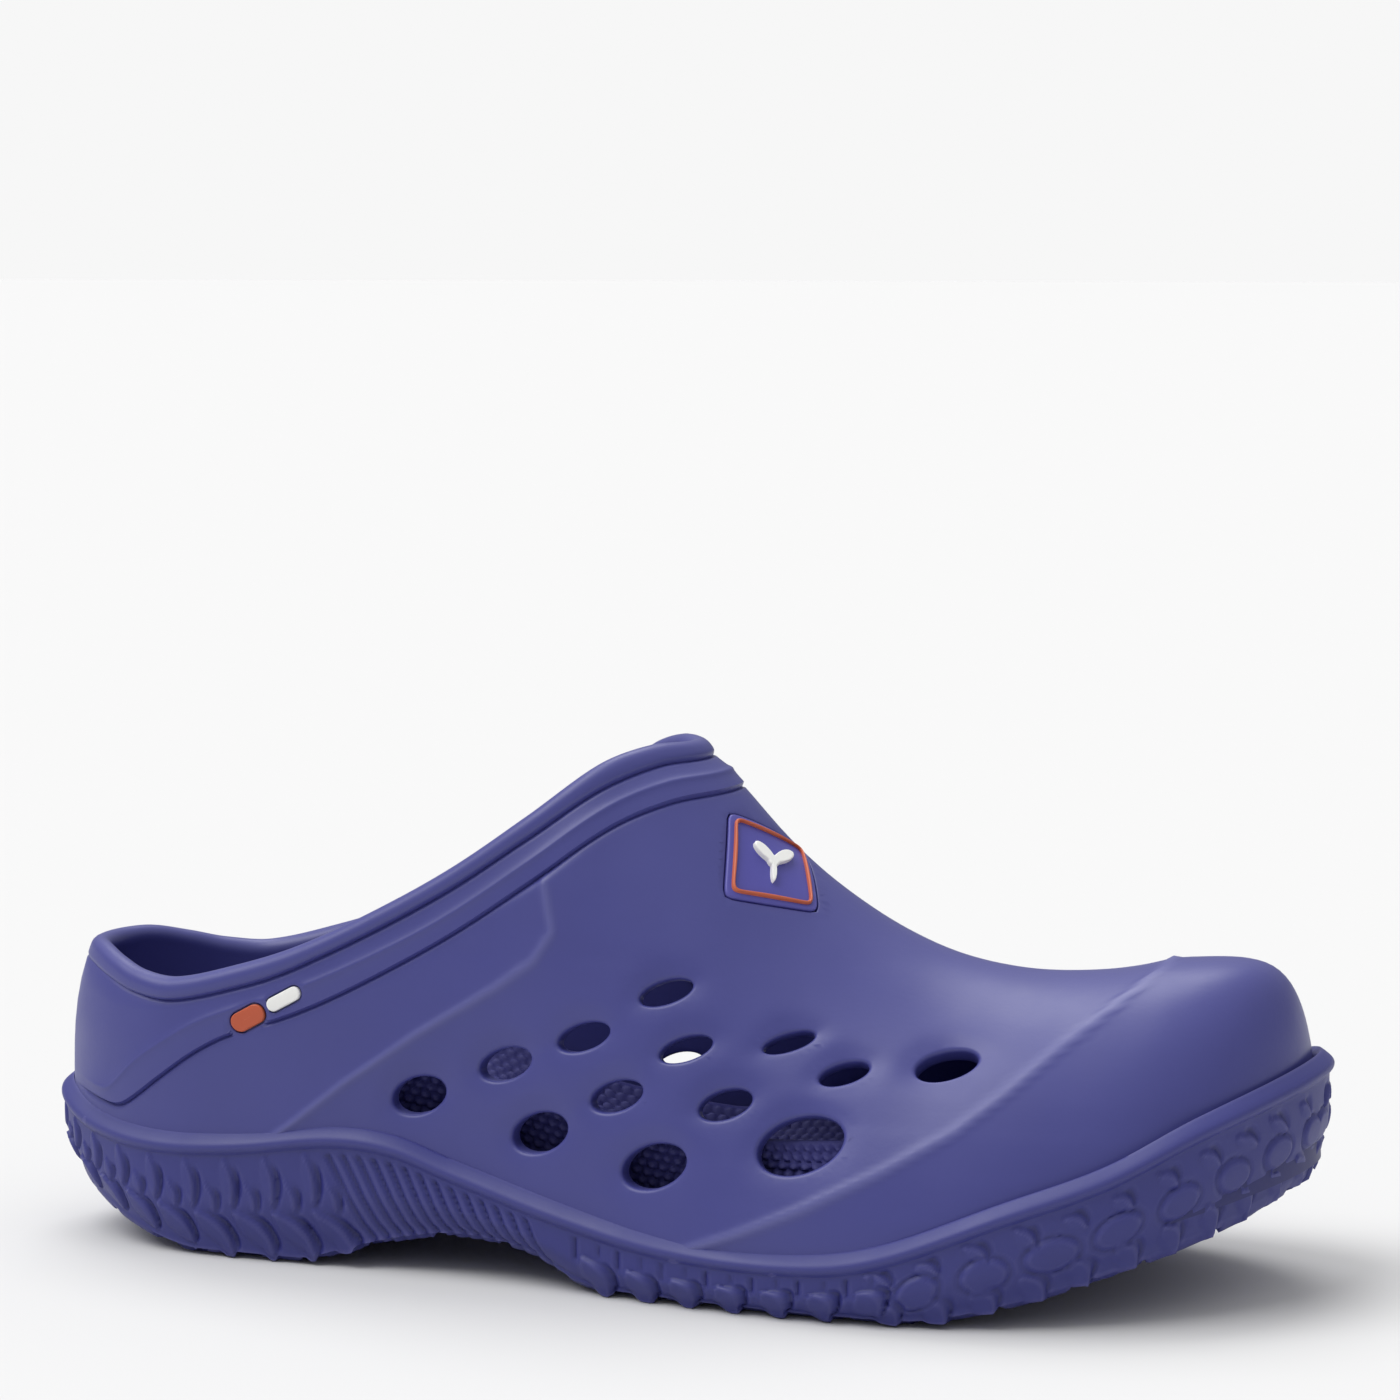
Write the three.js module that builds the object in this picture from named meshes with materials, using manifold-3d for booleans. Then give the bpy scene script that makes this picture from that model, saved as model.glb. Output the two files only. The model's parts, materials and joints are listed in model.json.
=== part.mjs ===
// A rubber garden clog for the right foot: a vented upper moulded in soft foam, a cleated
// sole that cups it, a removable footbed, a round-cornered badge and a small side mark.
// Millimetres. The toe points along +X, the outer side of the foot is -Y and up is +Z.
import * as THREE from "three";
import { mergeVertices } from "three/addons/utils/BufferGeometryUtils.js";
import Module from "manifold-3d";

const wasm = await Module();
wasm.setup();

// ---------------------------------------------------------------- driving dimensions
const shoeLength = 280;
const ballWidth = 103;
const collarPeak = 112; // top of the collar over the instep
const flange = 3; // how far the sole's top lip stands out past the upper
const lipHeight = 5; // the smooth lip along the top of the sole
const lipDepth = 1.5; // how far the cleated side is set back under that lip
const treadBevel = 4; // set-back of the tread's edge from the sole's widest line
const wall = 4.5; // upper
const floorThickness = 3; // the upper's own floor, on the sole
const coveRadius = 3.5; // corner between the floor and the inside of the wall
const footbedThickness = 6;
const footbedEdge = 4.6; // free width between the footbed and the inside of the wall
const flexStation = 0.6; // where the footbed bends as its heel end is lifted
const ventDepth = 18; // length of the cutter that opens a vent
const heelLean = 6.5; // how far the back of the heel curls forward at the collar
const noseLength = 37; // length over which the toe rounds down to the sole
const noseFullness = 8; // higher is a blunter toe
const touchGap = 0.3; // gap kept between pieces that touch
const cupGap = 0.6; // between the upper and the inside of the sole's cup
const layGap = 0.6; // under the upper's floor and under the footbed, which follow curves
const ventTilt = 0.35; // slope of each vent's long axis, rise over run
const pocketCutterHeight = 4; // how far a pocket's cutter stands out of the upper

const badgeSize = 20;
const badgeDepth = 1.8; // depth of its pocket
const badgePlateProud = 0.3;
const badgeFrameWidth = 0.9;
const badgeFrameInset = 1.2;
const badgeFrameProud = 1.2;
const badgeMotifRadius = 6.4;
const badgeMotifProud = 1.8;
const badgeStation = 0.593;
const badgeHeight = 87;
const badgeTurn = -0.4; // radians, nose down

const markBarLength = 8.4;
const markBarSpacing = 9.6;
const markDepth = 0.9;
const markProud = 0.3;
const markStation = 0.216;
const markHeight = 54.5;
const markTurn = 0.5; // radians, front up

// Columns run round the shoe, rows run up the wall.
const columnCount = 48;
const wallRows = 7;
const rowPacking = 1.5; // above 1 packs the rows towards the foot of the wall
const raySteps = 24;
const rayAngle = 0.04; // radians between the trial rays that look for the collar's edge
const ventSides = 10;
const firstHub = 45 / 280; // station of the hub that the heel's columns start from
const lastHub = 128 / 280; // and of the toe's
const spineStart = 0.14; // stations between which the floors' middle line runs
const spineEnd = 0.84;

// ------------------------------------------------- profile curves along the shoe
// Each point is [station, value]. Station 0 is the back of the heel and 1 the toe.

// Middle of the outline, as a share of the ball width: the toe turns inward.
const centreLine = curve([
  [0, 0], [0.18, -0.005], [0.36, -0.01], [0.57, -0.02],
  [0.71, -0.015], [0.86, 0.024], [0.94, 0.063], [1, 0.117],
]);
// Half width before the ends round off, as a share of the ball width.
const fullness = curve([
  [0, 0.485], [0.09, 0.482], [0.21, 0.408], [0.36, 0.365], [0.46, 0.394], [0.57, 0.456],
  [0.68, 0.525], [0.77, 0.581], [0.86, 0.631], [0.94, 0.67], [1, 0.67],
]);
// Crown of the upper, as a share of the collar's peak. Behind the instep it carries on up
// as a form that the collar cuts off.
const topLine = curve([
  [0, 1.41], [0.21, 1.39], [0.36, 1.31], [0.45, 1.17], [0.49, 1.07], [0.522, 1],
  [0.557, 0.915], [0.59, 0.827], [0.62, 0.76], [0.654, 0.699], [0.686, 0.652],
  [0.718, 0.616], [0.75, 0.593], [0.786, 0.58], [0.83, 0.58], [0.864, 0.589],
  [0.9, 0.605], [0.936, 0.613], [1, 0.613],
]);
// Edge of the collar, as a share of its peak.
const rimLine = curve([
  [0, 0.578], [0.03, 0.576], [0.06, 0.558], [0.09, 0.54], [0.13, 0.534], [0.19, 0.568],
  [0.24, 0.61], [0.3, 0.682], [0.36, 0.768], [0.42, 0.874], [0.47, 0.969], [0.5, 0.999],
  [0.522, 1],
]);
// Top of the sole's lip, in mm above the ground: a hump at the arch, and high round the toe.
const ribLine = curve([
  [0, 33], [0.05, 28.5], [0.12, 26.5], [0.19, 27.5], [0.27, 30.5], [0.32, 29.5],
  [0.37, 25], [0.45, 19], [0.53, 14.8], [0.62, 13.3], [0.7, 15.8], [0.8, 26],
  [0.87, 33], [0.93, 41.5], [1, 49],
]);
// Seat inside the sole that the upper's floor rests on, in mm above the ground.
const seatLine = curve([
  [0, 27], [0.12, 22], [0.27, 25], [0.36, 21], [0.45, 14.5], [0.53, 10.5],
  [0.62, 9.5], [0.71, 11], [0.8, 14], [0.87, 18], [0.94, 23], [1, 27],
]);
// Tread, in mm above the ground: heel bevel, flat heel, raised arch, flat ball, toe spring.
const treadLine = curve([
  [0, 18], [0.04, 10], [0.09, 4], [0.15, 0], [0.24, 0], [0.28, 3], [0.32, 6],
  [0.37, 8], [0.43, 6], [0.47, 1], [0.5, 0], [0.73, 0], [0.79, 3], [0.86, 9],
  [0.94, 17], [1, 24.5],
]);
// Exponent of the upper's cross-section: 2 is an ellipse, less has flatter flanks.
const roundness = curve([
  [0, 2.2], [0.36, 2.1], [0.46, 1.95], [0.54, 1.75], [0.63, 1.62],
  [0.72, 1.72], [0.82, 2], [1, 2.2],
]);

// Vents as [station, height, long width, short width]. The inner side has fewer, set lower
// and further back, so that its arch stays solid.
const outerVents = [
  [0.535, 63, 11.5, 4.8], [0.473, 53, 12, 5.4], [0.553, 52, 11.5, 4.8], [0.628, 54, 11, 3.8],
  [0.41, 46, 12.5, 6.4], [0.671, 48.5, 10.5, 4.6], [0.744, 50.5, 13, 7],
  [0.34, 38, 12.5, 7.6], [0.501, 41.5, 12, 6], [0.586, 41.5, 11.5, 5.8],
  [0.439, 32.4, 13.5, 8], [0.533, 28, 15, 8.8], [0.645, 34.5, 18.5, 11.5],
];
const innerVents = [
  [0.507, 56, 11.5, 5], [0.525, 45, 11.5, 5], [0.6, 47, 11, 4], [0.643, 41.5, 10.5, 5],
  [0.472, 34.5, 12, 6.5], [0.558, 34.5, 11.5, 6.5], [0.617, 27.5, 18, 11.5],
];

// ------------------------------------------------------------------ small helpers
function curve(points) {
  const last = points.length - 1;
  const slopes = points.map((point, i) => {
    const before = points[Math.max(i - 1, 0)];
    const after = points[Math.min(i + 1, last)];
    return (after[1] - before[1]) / (after[0] - before[0]);
  });
  return (station) => {
    const s = THREE.MathUtils.clamp(station, points[0][0], points[last][0]);
    let i = points.findIndex((point) => point[0] > s) - 1;
    if (i < 0) i = last - 1;
    const span = points[i + 1][0] - points[i][0];
    const t = (s - points[i][0]) / span;
    const t2 = t * t;
    const t3 = t2 * t;
    return (
      (2 * t3 - 3 * t2 + 1) * points[i][1] +
      (t3 - 2 * t2 + t) * span * slopes[i] +
      (3 * t2 - 2 * t3) * points[i + 1][1] +
      (t3 - t2) * span * slopes[i + 1]
    );
  };
}

// The last value from `low` up for which test() still holds.
function bisect(low, high, test) {
  for (let i = 0; i < 40; i++) {
    const middle = (low + high) / 2;
    if (test(middle)) low = middle;
    else high = middle;
  }
  return low;
}

const centre = (x) => ballWidth * centreLine(x / shoeLength);
const rim = (x) => collarPeak * rimLine(x / shoeLength);
const rib = (x) => ribLine(x / shoeLength);
const seat = (x) => seatLine(x / shoeLength);
const tread = (x) => Math.max(treadLine(x / shoeLength), 0);
const floorBottom = (x) => seat(x) + layGap;
const floorTop = (x) => floorBottom(x) + floorThickness;
const footbedBottom = (x) => floorTop(x) + layGap;
const footbedTop = (x) => footbedBottom(x) + footbedThickness;

// Half width in plan of the sole's outline set in by `inset`.
function halfWidth(x, inset) {
  const u = (x - inset) / (shoeLength - 2 * inset);
  if (u <= 0 || u >= 1) return 0;
  return 2 * Math.sqrt(u * (1 - u)) * (ballWidth * fullness(x / shoeLength) - inset);
}

// Height of the upper's crown over its seat, set in by `inset` square to the surface.
function crown(x, inset) {
  const top = (place) => collarPeak * topLine(place / shoeLength);
  const slope = top(x + 0.5) - top(x - 0.5);
  const noseStart = shoeLength - flange - noseLength;
  const u = Math.max((x - noseStart) / (noseLength - inset), 0);
  if (u >= 1) return 0;
  return (top(x) - inset * Math.hypot(1, slope) - seat(x)) * Math.sqrt(1 - u ** noseFullness);
}

// Whether a point lies inside the upper's outer form set in by `inset`.
function inForm(x, y, z, inset) {
  const halfBreadth = halfWidth(x, flange + inset);
  const height = crown(x, inset);
  if (halfBreadth <= 0 || height <= 0) return false;
  const across = Math.abs(y - centre(x)) / halfBreadth;
  const up = Math.max(z - seat(x), 0) / height;
  const exponent = roundness(x / shoeLength);
  return across ** exponent + up ** exponent < 1;
}

// ------------------------------------------- columns: upright planes round the shoe
// Each column's plane runs from a hub on the middle line, under the collar's opening, out
// to the sole's outline. Columns j and columnCount - j are opposite each other.
const columns = Array.from({ length: columnCount }, (_, j) => {
  const angle = (2 * Math.PI * j) / columnCount;
  const x = (shoeLength * (1 - Math.cos(angle))) / 2;
  const y = centre(x) - Math.sin(angle) * ballWidth * fullness(x / shoeLength);
  const share = THREE.MathUtils.smoothstep(x / shoeLength, 0.03, 0.72);
  const hubX = shoeLength * THREE.MathUtils.lerp(firstHub, lastHub, share);
  const hub = new THREE.Vector2(hubX, centre(hubX));
  const reach = new THREE.Vector2(x, y).sub(hub);
  const spineX = THREE.MathUtils.clamp(x, shoeLength * spineStart, shoeLength * spineEnd);
  const spine = new THREE.Vector3(spineX, centre(spineX), 0);
  return { hub, spine, reach: reach.length(), out: reach.normalize() };
});

function inColumn(column, distance, z) {
  const x = column.hub.x + column.out.x * distance;
  const y = column.hub.y + column.out.y * distance;
  return new THREE.Vector3(x, y, z);
}

// Where a column meets the form set in by `inset` at the height level(x).
function formPoint(column, inset, level) {
  const far = column.reach * 1.2;
  const distance = bisect(0, far, (d) => {
    const p = inColumn(column, d, 0);
    return inForm(p.x, p.y, level(p.x), inset);
  });
  const found = inColumn(column, distance, 0);
  found.z = level(found.x);
  return found;
}

// Where a ray that rises at `angle` from the column's hub meets the form.
function rayPoint(column, inset, angle) {
  const start = seat(column.hub.x) + floorThickness;
  const at = (d) => inColumn(column, d * Math.cos(angle), start + d * Math.sin(angle));
  const distance = bisect(0, shoeLength, (d) => {
    const p = at(d);
    return inForm(p.x, p.y, p.z, inset);
  });
  return at(distance);
}

// Points up one column's wall, from the height level(x) to the collar's edge.
function wallPath(column, inset, level, rows) {
  const foot = formPoint(column, inset, level);
  const start = seat(column.hub.x) + floorThickness;
  const run = Math.hypot(foot.x - column.hub.x, foot.y - column.hub.y);
  const lowAngle = Math.atan2(foot.z - start, run);
  const underRim = (angle) => {
    const p = rayPoint(column, inset, angle);
    return p.z < rim(p.x);
  };
  let highAngle = lowAngle;
  while (underRim(highAngle)) highAngle += rayAngle;
  highAngle = bisect(highAngle - rayAngle, highAngle, underRim);
  const fine = [foot];
  for (let i = 1; i <= raySteps; i++) {
    const angle = THREE.MathUtils.lerp(lowAngle, highAngle, i / raySteps);
    fine.push(rayPoint(column, inset, angle));
  }
  return packed(fine, rows);
}

// Points along a path, packed closer near its start, where the toe curves most.
function packed(points, rows) {
  const along = [0];
  for (let i = 1; i < points.length; i++)
    along.push(along[i - 1] + points[i].distanceTo(points[i - 1]));
  const total = along[along.length - 1];
  return Array.from({ length: rows + 1 }, (_, row) => {
    const wanted = total * (row / rows) ** rowPacking;
    const i = Math.max(along.findIndex((length) => length >= wanted - 1e-9), 1);
    const share = (wanted - along[i - 1]) / (along[i] - along[i - 1]);
    return points[i - 1].clone().lerp(points[i], share);
  });
}

// The heel rises upright from the sole's lip and curls forward at the collar.
function lean(point) {
  const lift = (point.z - rib(point.x)) / (rim(point.x) - rib(point.x));
  const near = Math.max(1 - point.x / (shoeLength / 4), 0) ** 2;
  point.x += heelLean * THREE.MathUtils.clamp(lift, 0, 1) ** 3 * near;
  return point;
}

// ------------------------------------------------------------------ solids
// A closed body from rings that all have one point per column. Rings go from the middle
// of the underside, out, up and over, and back in to the middle of the top.
function bodyFromRings(rings) {
  const count = rings[0].length;
  const positions = rings.flat().flatMap((p) => [p.x, p.y, p.z]);
  const faces = [];
  for (let ring = 0; ring + 1 < rings.length; ring++)
    for (let j = 0; j < count; j++) {
      const a = ring * count + j;
      const b = ring * count + ((j + 1) % count);
      faces.push(a, b, b + count, a, b + count, a + count);
    }
  return solid(positions, faces);
}

// A manifold from positions and faces, with shared points merged and empty faces left out.
function solid(positions, faces) {
  const geometry = new THREE.BufferGeometry();
  geometry.setAttribute("position", new THREE.Float32BufferAttribute(positions, 3));
  geometry.setIndex(faces);
  const merged = mergeVertices(geometry, 1e-3);
  const index = merged.index.array;
  const kept = [];
  for (let i = 0; i < index.length; i += 3) {
    const [a, b, c] = [index[i], index[i + 1], index[i + 2]];
    if (a !== b && b !== c && c !== a) kept.push(a, b, c);
  }
  const vertProperties = merged.attributes.position.array;
  const triVerts = new Uint32Array(kept);
  return new wasm.Manifold(new wasm.Mesh({ numProp: 3, vertProperties, triVerts }));
}

function solidOf(geometry) {
  const bare = geometry.index ? geometry.toNonIndexed() : geometry;
  const positions = Array.from(bare.attributes.position.array);
  return solid(positions, positions.slice(0, positions.length / 3).map((_, i) => i));
}

function named(name, material, manifold) {
  const mesh = manifold.getMesh();
  const geometry = new THREE.BufferGeometry();
  const positions = new THREE.BufferAttribute(mesh.vertProperties, 3);
  geometry.setAttribute("position", positions);
  geometry.setIndex(new THREE.BufferAttribute(mesh.triVerts, 1));
  geometry.computeVertexNormals();
  const made = new THREE.Mesh(geometry, material);
  made.name = name;
  return made;
}

// A ring part of the way from the middle line (share 0) to a given ring (share 1).
function towardMiddle(ring, share, level) {
  return ring.map((point, j) => {
    const made = columns[j].spine.clone().lerp(point, share);
    return made.setZ(level(made.x));
  });
}

// ------------------------------------------------------------------ upper
function makeUpper() {
  const foot = columns.map((column) => formPoint(column, 0, floorBottom));
  const outer = columns.map((column) => wallPath(column, 0, rib, wallRows));
  const coveTop = (x) => floorTop(x) + coveRadius;
  const inner = columns.map((column) => wallPath(column, wall, coveTop, wallRows));
  const coveFoot = columns.map((column) => formPoint(column, wall + coveRadius, floorTop));
  const rings = [
    towardMiddle(foot, 0, floorBottom),
    towardMiddle(foot, 0.5, floorBottom),
    foot,
  ];
  for (let row = 0; row <= wallRows; row++) rings.push(outer.map((path) => lean(path[row])));
  for (let row = wallRows; row >= 0; row--) rings.push(inner.map((path) => lean(path[row])));
  rings.push(coveFoot, towardMiddle(coveFoot, 0.5, floorTop), towardMiddle(coveFoot, 0, floorTop));
  let upper = bodyFromRings(rings);
  for (const vent of outerVents) upper = upper.subtract(ventCutter(-1, vent));
  for (const vent of innerVents) upper = upper.subtract(ventCutter(1, vent));
  const badgePocket = roundedSquare(badgeSize / 2 + touchGap);
  upper = upper.subtract(draped(badgePlace, badgePocket, -badgeDepth, pocketCutterHeight));
  for (const bar of markBars) {
    const pocket = pill(markBarLength / 2 + touchGap, bar.width / 2 + touchGap);
    upper = upper.subtract(draped(bar, pocket, -markDepth, pocketCutterHeight));
  }
  return upper;
}

// The point of the outer form at a station and height, with its tangents and normal.
function surfaceFrame(side, station, height) {
  const at = (x, z) => {
    const share = Math.max(z - seat(x), 0) / crown(x, 0);
    const exponent = roundness(x / shoeLength);
    const across = (1 - Math.min(share, 1) ** exponent) ** (1 / exponent);
    return new THREE.Vector3(x, centre(x) + side * halfWidth(x, flange) * across, z);
  };
  const x = station * shoeLength;
  const origin = at(x, height);
  const alongX = at(x + 1, height).sub(at(x - 1, height)).normalize();
  const upward = at(x, height + 1).sub(at(x, height - 1)).normalize();
  const normal = new THREE.Vector3().crossVectors(alongX, upward).normalize();
  if (normal.y * side < 0) normal.negate();
  return { origin, alongX, upward, normal };
}

function ventCutter(side, [station, height, longWidth, shortWidth]) {
  const frame = surfaceFrame(side, station, height);
  const cutter = new THREE.CylinderGeometry(0.5, 0.5, 1, ventSides);
  cutter.scale(longWidth, ventDepth, shortWidth);
  const level = frame.alongX.clone().addScaledVector(frame.upward, ventTilt).normalize();
  const third = new THREE.Vector3().crossVectors(level, frame.normal).normalize();
  const turn = new THREE.Matrix4().makeBasis(level, frame.normal, third);
  cutter.applyMatrix4(turn.setPosition(frame.origin));
  return solidOf(cutter);
}

// ------------------------------------------- thin pieces draped over the upper
// A local frame on the surface: `right` and `up` lie in the surface, `out` points off it.
function drapeFrame(side, station, height, turn) {
  const { origin, alongX, normal } = surfaceFrame(side, station, height);
  const right = alongX.applyAxisAngle(normal, turn);
  const up = new THREE.Vector3().crossVectors(normal, right);
  return { origin, right, up, out: normal };
}

// The surface point under a place (a, b) of a drape frame, moved off it by `offset`.
function onSurface(frame, a, b, offset) {
  const base = frame.origin.clone().addScaledVector(frame.right, a).addScaledVector(frame.up, b);
  const depth = 12;
  const inside = (d) => {
    const p = base.clone().addScaledVector(frame.out, -d);
    return !inForm(p.x, p.y, p.z, 0);
  };
  const drop = bisect(-depth, depth, inside);
  return lean(base.addScaledVector(frame.out, offset - drop));
}

// A closed plate over an outline, between two offsets from the surface.
function draped(frame, outline, low, high) {
  const shares = [0, 0.5, 1];
  const ring = (share, offset) =>
    outline.map((p) => onSurface(frame, p.x * share, p.y * share, offset));
  const under = shares.map((share) => ring(share, low));
  const over = shares.map((share) => ring(share, high)).reverse();
  return bodyFromRings([...under, ...over]);
}

// A closed band between an outline and the same outline shrunk by `share`.
function drapedBand(frame, outline, share, low, high) {
  const ring = (scale, offset) =>
    outline.map((p) => onSurface(frame, p.x * scale, p.y * scale, offset));
  const inside = ring(share, low);
  return bodyFromRings([inside, ring(1, low), ring(1, high), ring(share, high), inside]);
}

// Outlines run anticlockwise seen from outside.
function polar(count, radius) {
  return Array.from({ length: count }, (_, i) => {
    const angle = (2 * Math.PI * i) / count;
    const r = radius(angle);
    return new THREE.Vector2(r * Math.cos(angle), r * Math.sin(angle));
  });
}

function roundedSquare(half) {
  const squareness = 5;
  return polar(24, (angle) => {
    const c = Math.abs(Math.cos(angle)) ** squareness;
    const s = Math.abs(Math.sin(angle)) ** squareness;
    return half / (c + s) ** (1 / squareness);
  });
}

function pill(halfLength, halfWide) {
  return polar(20, () => 1).map((p) => {
    const straight = Math.sign(p.x) * (halfLength - halfWide) * (Math.abs(p.x) > 1e-6 ? 1 : 0);
    return new THREE.Vector2(p.x * halfWide + straight, p.y * halfWide);
  });
}

// A sprout: two leaves that spread upward and a short stem.
function sprout(radius) {
  const lobes = [
    { at: 0.7, tall: 1, wide: 0.42 },
    { at: Math.PI - 0.7, tall: 0.85, wide: 0.42 },
    { at: Math.PI * 1.5, tall: 0.75, wide: 0.2 },
  ];
  return polar(36, (angle) => {
    const swell = lobes.map(({ at, tall, wide }) => {
      const away = Math.atan2(Math.sin(angle - at), Math.cos(angle - at));
      return tall * Math.exp(-((away / wide) ** 2));
    });
    return radius * (0.2 + 0.8 * Math.max(...swell));
  });
}

const badgePlace = drapeFrame(-1, badgeStation, badgeHeight, badgeTurn);
const markBars = [
  { name: "side_mark_orange", along: -0.5, width: 4.2 },
  { name: "side_mark_white", along: 0.5, width: 3 },
].map((bar) => {
  const place = drapeFrame(-1, markStation, markHeight, markTurn);
  place.origin.addScaledVector(place.right, bar.along * markBarSpacing);
  return { ...bar, ...place };
});

// ------------------------------------------------------------------ sole and footbed
function makeSole() {
  const atInset = (inset) => columns.map((column) => formPoint(column, inset - flange, seat));
  const at = (inset, level) => atInset(inset).map((p) => p.setZ(level(p.x)));
  const lipUnder = (x) => rib(x) - Math.min(lipHeight, (rib(x) - tread(x)) / 3);
  const middle = (x) => (lipUnder(x) + tread(x)) / 2;
  const treadEdge = at(treadBevel, tread);
  const cupTop = columns.map((column) => formPoint(column, -cupGap, rib));
  const cupFoot = columns.map((column) => formPoint(column, -cupGap, seat));
  return bodyFromRings([
    towardMiddle(treadEdge, 0, tread),
    towardMiddle(treadEdge, 0.5, tread),
    treadEdge,
    at(lipDepth, middle),
    at(lipDepth, lipUnder),
    at(0, lipUnder),
    at(0, rib),
    cupTop,
    cupFoot,
    towardMiddle(cupFoot, 0.5, seat),
    towardMiddle(cupFoot, 0, seat),
  ]);
}

function makeFootbed() {
  const edge = (level) => columns.map((column) => {
    const p = formPoint(column, wall + footbedEdge, seat);
    return p.setZ(level(p.x));
  });
  const under = edge(footbedBottom);
  const over = edge(footbedTop);
  return bodyFromRings([
    towardMiddle(under, 0, footbedBottom),
    towardMiddle(under, 0.5, footbedBottom),
    under,
    over,
    towardMiddle(over, 0.5, footbedTop),
    towardMiddle(over, 0, footbedTop),
  ]);
}

// The half of the footbed on one side of its flex line.
function footbedHalf(whole, forward) {
  const size = shoeLength * 2;
  const block = new THREE.BoxGeometry(size, size, size);
  block.translate(flexStation * shoeLength + forward * (size / 2 + touchGap), 0, 0);
  return whole.intersect(solidOf(block));
}

// ------------------------------------------------------------------ assembly
const finish = (color, roughness) =>
  new THREE.MeshStandardMaterial({ color, roughness, metalness: 0 });
const foam = finish(0x54548f, 0.55);
const soleRubber = finish(0x3b3b74, 0.6);
const footbedFoam = finish(0x33336b, 0.8);
const orange = finish(0xc85a3c, 0.5);
const white = finish(0xf0f0ee, 0.5);

const badgeFloor = -badgeDepth + touchGap;
const plateOutline = roundedSquare(badgeSize / 2);
const bandOutline = roundedSquare(badgeSize / 2 - badgeFrameInset);
const bandShare = 1 - badgeFrameWidth / (badgeSize / 2 - badgeFrameInset);
const onPlate = badgePlateProud + touchGap;
const motif = sprout(badgeMotifRadius);
const footbed = makeFootbed();

const parts = [
  named("upper_shell", foam, makeUpper()),
  named("outsole", soleRubber, makeSole()),
  named("footbed_heel", footbedFoam, footbedHalf(footbed, -1)),
  named("footbed_forefoot", footbedFoam, footbedHalf(footbed, 1)),
  named("badge_plate", foam, draped(badgePlace, plateOutline, badgeFloor, badgePlateProud)),
  named("badge_frame", orange, drapedBand(badgePlace, bandOutline, bandShare, onPlate, badgeFrameProud)),
  named("badge_motif", white, draped(badgePlace, motif, onPlate, badgeMotifProud)),
];
for (const bar of markBars) {
  const outline = pill(markBarLength / 2, bar.width / 2);
  const material = bar.name === "side_mark_white" ? white : orange;
  parts.push(named(bar.name, material, draped(bar, outline, touchGap - markDepth, markProud)));
}

const clog = new THREE.Group();
clog.add(...parts);

// The origin is on the ground under the middle of the assembled clog.
const bounds = new THREE.Box3().setFromObject(clog);
const middle = bounds.getCenter(new THREE.Vector3());
clog.position.set(-middle.x, -middle.y, -bounds.min.z);

export default clog;
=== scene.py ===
# %% [markdown]
# # A vented foam garden clog
# A garden clog is almost all one material: closed-cell foam, injected hot into a metal mould. What
# makes it read as real is not the colour but the moulding: a rolled collar with a raised band under
# it, rounded vents through a wall of even thickness, a creased toe cap and a sole full of cleats.
# This file builds those forms in the frame of a finished CAD model, one piece after another.

# %% Load the fixed frame
import json
import math

import bmesh
import bpy
import numpy as np
from mathutils import Matrix, Vector

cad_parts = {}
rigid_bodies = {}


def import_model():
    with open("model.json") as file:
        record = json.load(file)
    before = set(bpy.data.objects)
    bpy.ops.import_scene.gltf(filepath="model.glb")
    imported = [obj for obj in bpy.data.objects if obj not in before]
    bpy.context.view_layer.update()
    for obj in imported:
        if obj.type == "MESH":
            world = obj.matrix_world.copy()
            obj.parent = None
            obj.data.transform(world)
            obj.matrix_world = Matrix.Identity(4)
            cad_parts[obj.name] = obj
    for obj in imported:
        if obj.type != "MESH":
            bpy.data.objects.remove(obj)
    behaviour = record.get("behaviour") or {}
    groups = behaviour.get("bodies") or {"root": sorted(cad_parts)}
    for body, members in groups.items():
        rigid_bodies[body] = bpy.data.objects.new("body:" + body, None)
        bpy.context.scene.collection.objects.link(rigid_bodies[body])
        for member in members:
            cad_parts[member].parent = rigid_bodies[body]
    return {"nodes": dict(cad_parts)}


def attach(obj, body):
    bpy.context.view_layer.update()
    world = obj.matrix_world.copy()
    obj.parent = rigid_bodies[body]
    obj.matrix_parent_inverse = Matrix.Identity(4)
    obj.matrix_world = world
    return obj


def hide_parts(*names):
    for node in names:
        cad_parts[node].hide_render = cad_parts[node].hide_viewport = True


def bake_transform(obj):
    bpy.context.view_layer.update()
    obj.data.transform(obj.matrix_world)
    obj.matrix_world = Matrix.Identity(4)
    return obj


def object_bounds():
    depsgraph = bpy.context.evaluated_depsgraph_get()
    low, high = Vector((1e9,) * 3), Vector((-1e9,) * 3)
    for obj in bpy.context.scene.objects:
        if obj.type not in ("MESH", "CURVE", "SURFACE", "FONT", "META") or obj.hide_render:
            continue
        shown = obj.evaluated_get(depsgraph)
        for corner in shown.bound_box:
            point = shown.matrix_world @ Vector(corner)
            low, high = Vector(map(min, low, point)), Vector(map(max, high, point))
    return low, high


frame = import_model()
cad_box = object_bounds()
print("nodes to dress:", ", ".join(sorted(frame["nodes"])))
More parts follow.
